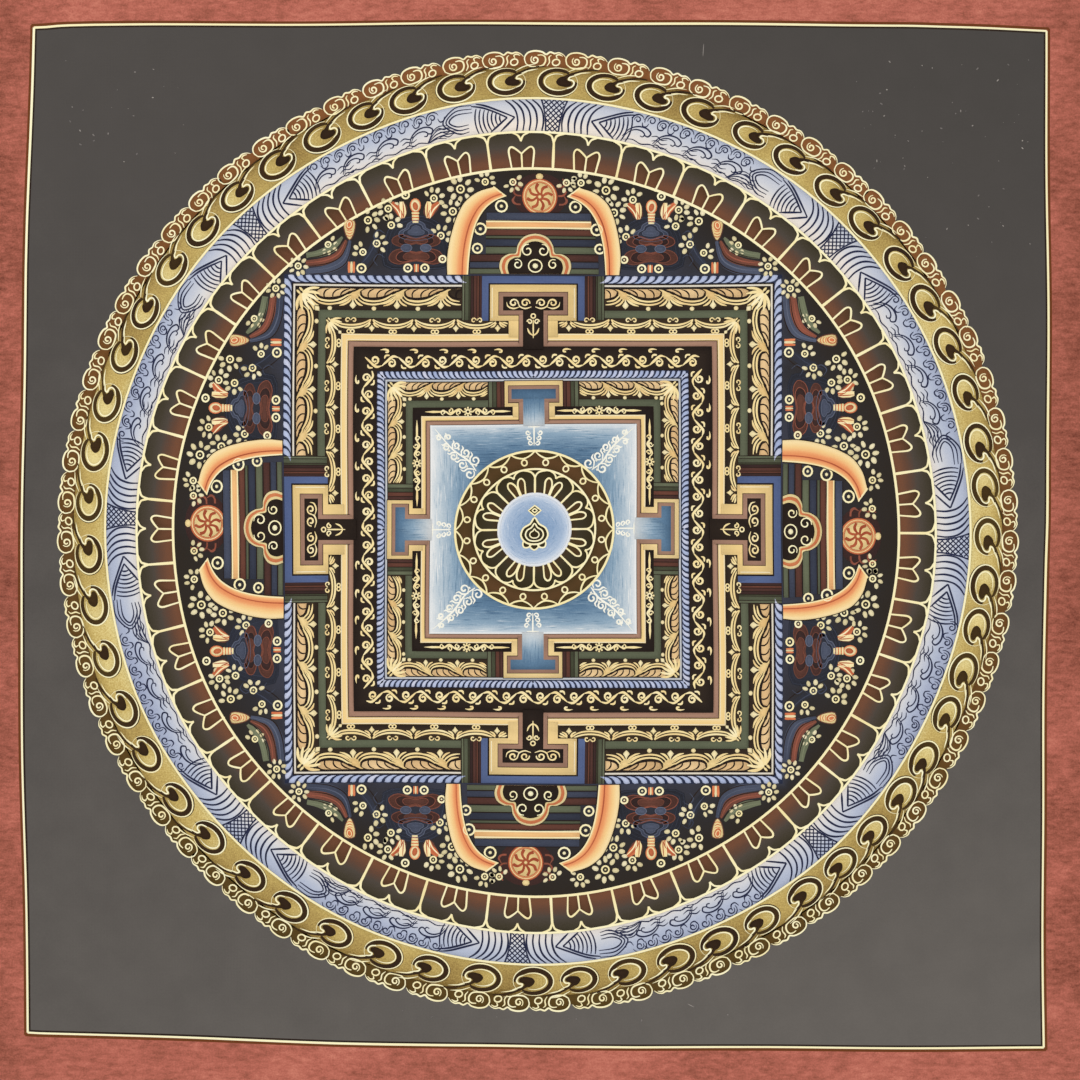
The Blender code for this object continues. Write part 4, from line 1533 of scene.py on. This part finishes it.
JEWEL_DROP = (0 - 4.6j, -3.6 - 3.8j, -5.6 - 1.0j, -4.6 + 2.2j, -1.8 + 4.0j, 0 + 6.6j, 1.8 + 4.0j, 4.6 + 2.2j,
              5.6 - 1.0j, 3.6 - 3.8j)
JEWEL_PETAL = (0 + 0.6j, -1.9 - 1.0j, -1.5 - 3.0j, 0 - 4.0j, 1.5 - 3.0j, 1.9 - 1.0j)


def jewel(dark, lines):
    """A plain drop-shaped jewel on three short petals, with a small diamond over it."""
    for turn, size in ((-38, 0.9), (38, 0.9), (0, 1.0)):
        petal = smooth(JEWEL_PETAL, True, 2) * size * turned(turn) - 3.0j + 0.055 * turn
        dark.fill(petal, 5.0, 0.1)
        lines.loop(petal, 0.62, 6.0, 0.7)
    for share, tone in ((1.0, 0.05), (0.66, 0.6), (0.34, 0.0)):
        shape = (smooth(JEWEL_DROP, True, 3) + 0.6j) * share - 0.6j
        dark.fill(shape, 6.2 + 0.6 * (1 - share), tone)
        lines.loop(shape, 0.7, 7.2, 0.75)
    for share in (1.0, 0.42):
        shape = edges([-2.6, 2.1j, 2.6, -2.1j], 2) * share + 9.6j
        dark.fill(shape, 6.2, 0.05)
        lines.loop(shape, 0.62, 7.2, 0.75)


def court_sprays():
    """White-gold sprays in the court's corners and a small one in front of each gate."""
    lines = Paint("court_sprays", SPRAY)
    leaf = smooth((0, 1.8 + 2.2j, 3.6 + 2.6j, 4.2 + 4.2j), per=3)
    for side in range(4):
        pen = lines.on(on_side(side))
        corner = pen.on(lambda w: w * turned(-45))
        corner.stroke(smooth((34.6j, 0.8 + 40j, -0.5 + 48j, 0.3 + 59.5j)), 0.7, 2.8, 0.7, (0.6, 0.3))
        for k in range(9):
            hand = 1 if k % 2 else -1
            root = 1j * (35.6 + 2.5 * k) + 0.3 * math.sin(k)
            half = corner.at(root, hand)
            width = 2.2 - 0.16 * k
            half.stroke(spiral(width + 0.6, width, 0.5, 180, 400, 13), 0.72, 2.8, 0.7, (0.5, 0.8))
            half.stroke(leaf * (1.0 - 0.075 * k), 0.66, 2.9, 0.8, (0.5, 0.3))
            if k < 6:
                corner.fill(oval(root - hand * 1.6 + 0.6j, 0.6, 0.5, count=7), 2.8, 0.7)
        for hand in (-1, 1):
            for k in range(3):
                curl = spiral(1.6 + 36.0j + (0.5 + 2.1j) * k, 1.1, 0.35, 180, 380, 11)
                pen.at(0, hand).stroke(curl, 0.62, 2.8, 0.7, (0.6, 0.8))
        pen.stroke(straight(35.0j, 43.2j, 2.0), 0.62, 2.9, 0.7, (0.5, 0.6))
        pen.stroke(straight(-2.6 + 42.6j, 2.6 + 42.6j, 1.5), 0.5, 2.9, 0.7, (0.4, 0.4))
    lines.build()


# ---------------------------------------------------------------- the stage

VIEW_WIDTH = 453.6       # how much of the cloth the photograph shows
VIEW_MIDDLE = complex(1.26, -2.1)
VIEW_HEIGHT = 1100.0     # camera over the cloth
SENSOR = 36.0
FLOOR_HALF = 2.5
FLOOR_DROP = 0.0004      # the floor lies a hair under the cloth
LAMPS = (("key", (-0.5, 0.55, 1.25), 0.9, 7.5), ("fill", (0.7, -0.8, 1.1), 1.2, 5.0))      # size, power


def stage():
    """A plain pale floor, soft light from above and a camera straight over the painting."""
    scene = bpy.context.scene
    floor_mesh = bpy.data.meshes.new("studio_floor")
    corners = [(x * FLOOR_HALF, y * FLOOR_HALF, -FLOOR_DROP) for x, y in ((-1, -1), (1, -1), (1, 1), (-1, 1))]
    floor_mesh.from_pydata(corners, [], [(0, 1, 2, 3)])
    floor = bpy.data.objects.new("studio_floor", floor_mesh)
    nodes = Nodes("studio_floor")
    nodes.shader.inputs["Base Color"].default_value = (0.72, 0.71, 0.69, 1)
    nodes.shader.inputs["Roughness"].default_value = 0.9
    floor_mesh.materials.append(nodes.material)
    scene.collection.objects.link(floor)

    world = bpy.data.worlds.new("soft_white")
    world.use_nodes = True
    world.node_tree.nodes["Background"].inputs["Color"].default_value = (1.0, 0.99, 0.98, 1)
    world.node_tree.nodes["Background"].inputs["Strength"].default_value = 0.62
    scene.world = world
    for name, place, size, power in LAMPS:
        light = bpy.data.lights.new(name, "AREA")
        light.size = size
        light.energy = power
        lamp = bpy.data.objects.new(name, light)
        lamp.location = place
        lamp.rotation_euler = (-Vector(place)).to_track_quat("-Z", "Y").to_euler()
        scene.collection.objects.link(lamp)

    lens = bpy.data.cameras.new("camera")
    lens.sensor_width = SENSOR
    lens.lens = SENSOR * VIEW_HEIGHT / VIEW_WIDTH
    camera = bpy.data.objects.new("camera", lens)
    camera.location = (VIEW_MIDDLE.real * MM, VIEW_MIDDLE.imag * MM, (VIEW_HEIGHT + THICKNESS) * MM)
    scene.collection.objects.link(camera)
    scene.camera = camera
    scene.view_settings.view_transform = "Standard"


stage()
sheet = canvas()
for part in (ground, outline, wear, cloud_border, comma_band, blue_ring, lotus_ring, palace, field,
             court_lotus, court_sprays):
    part()
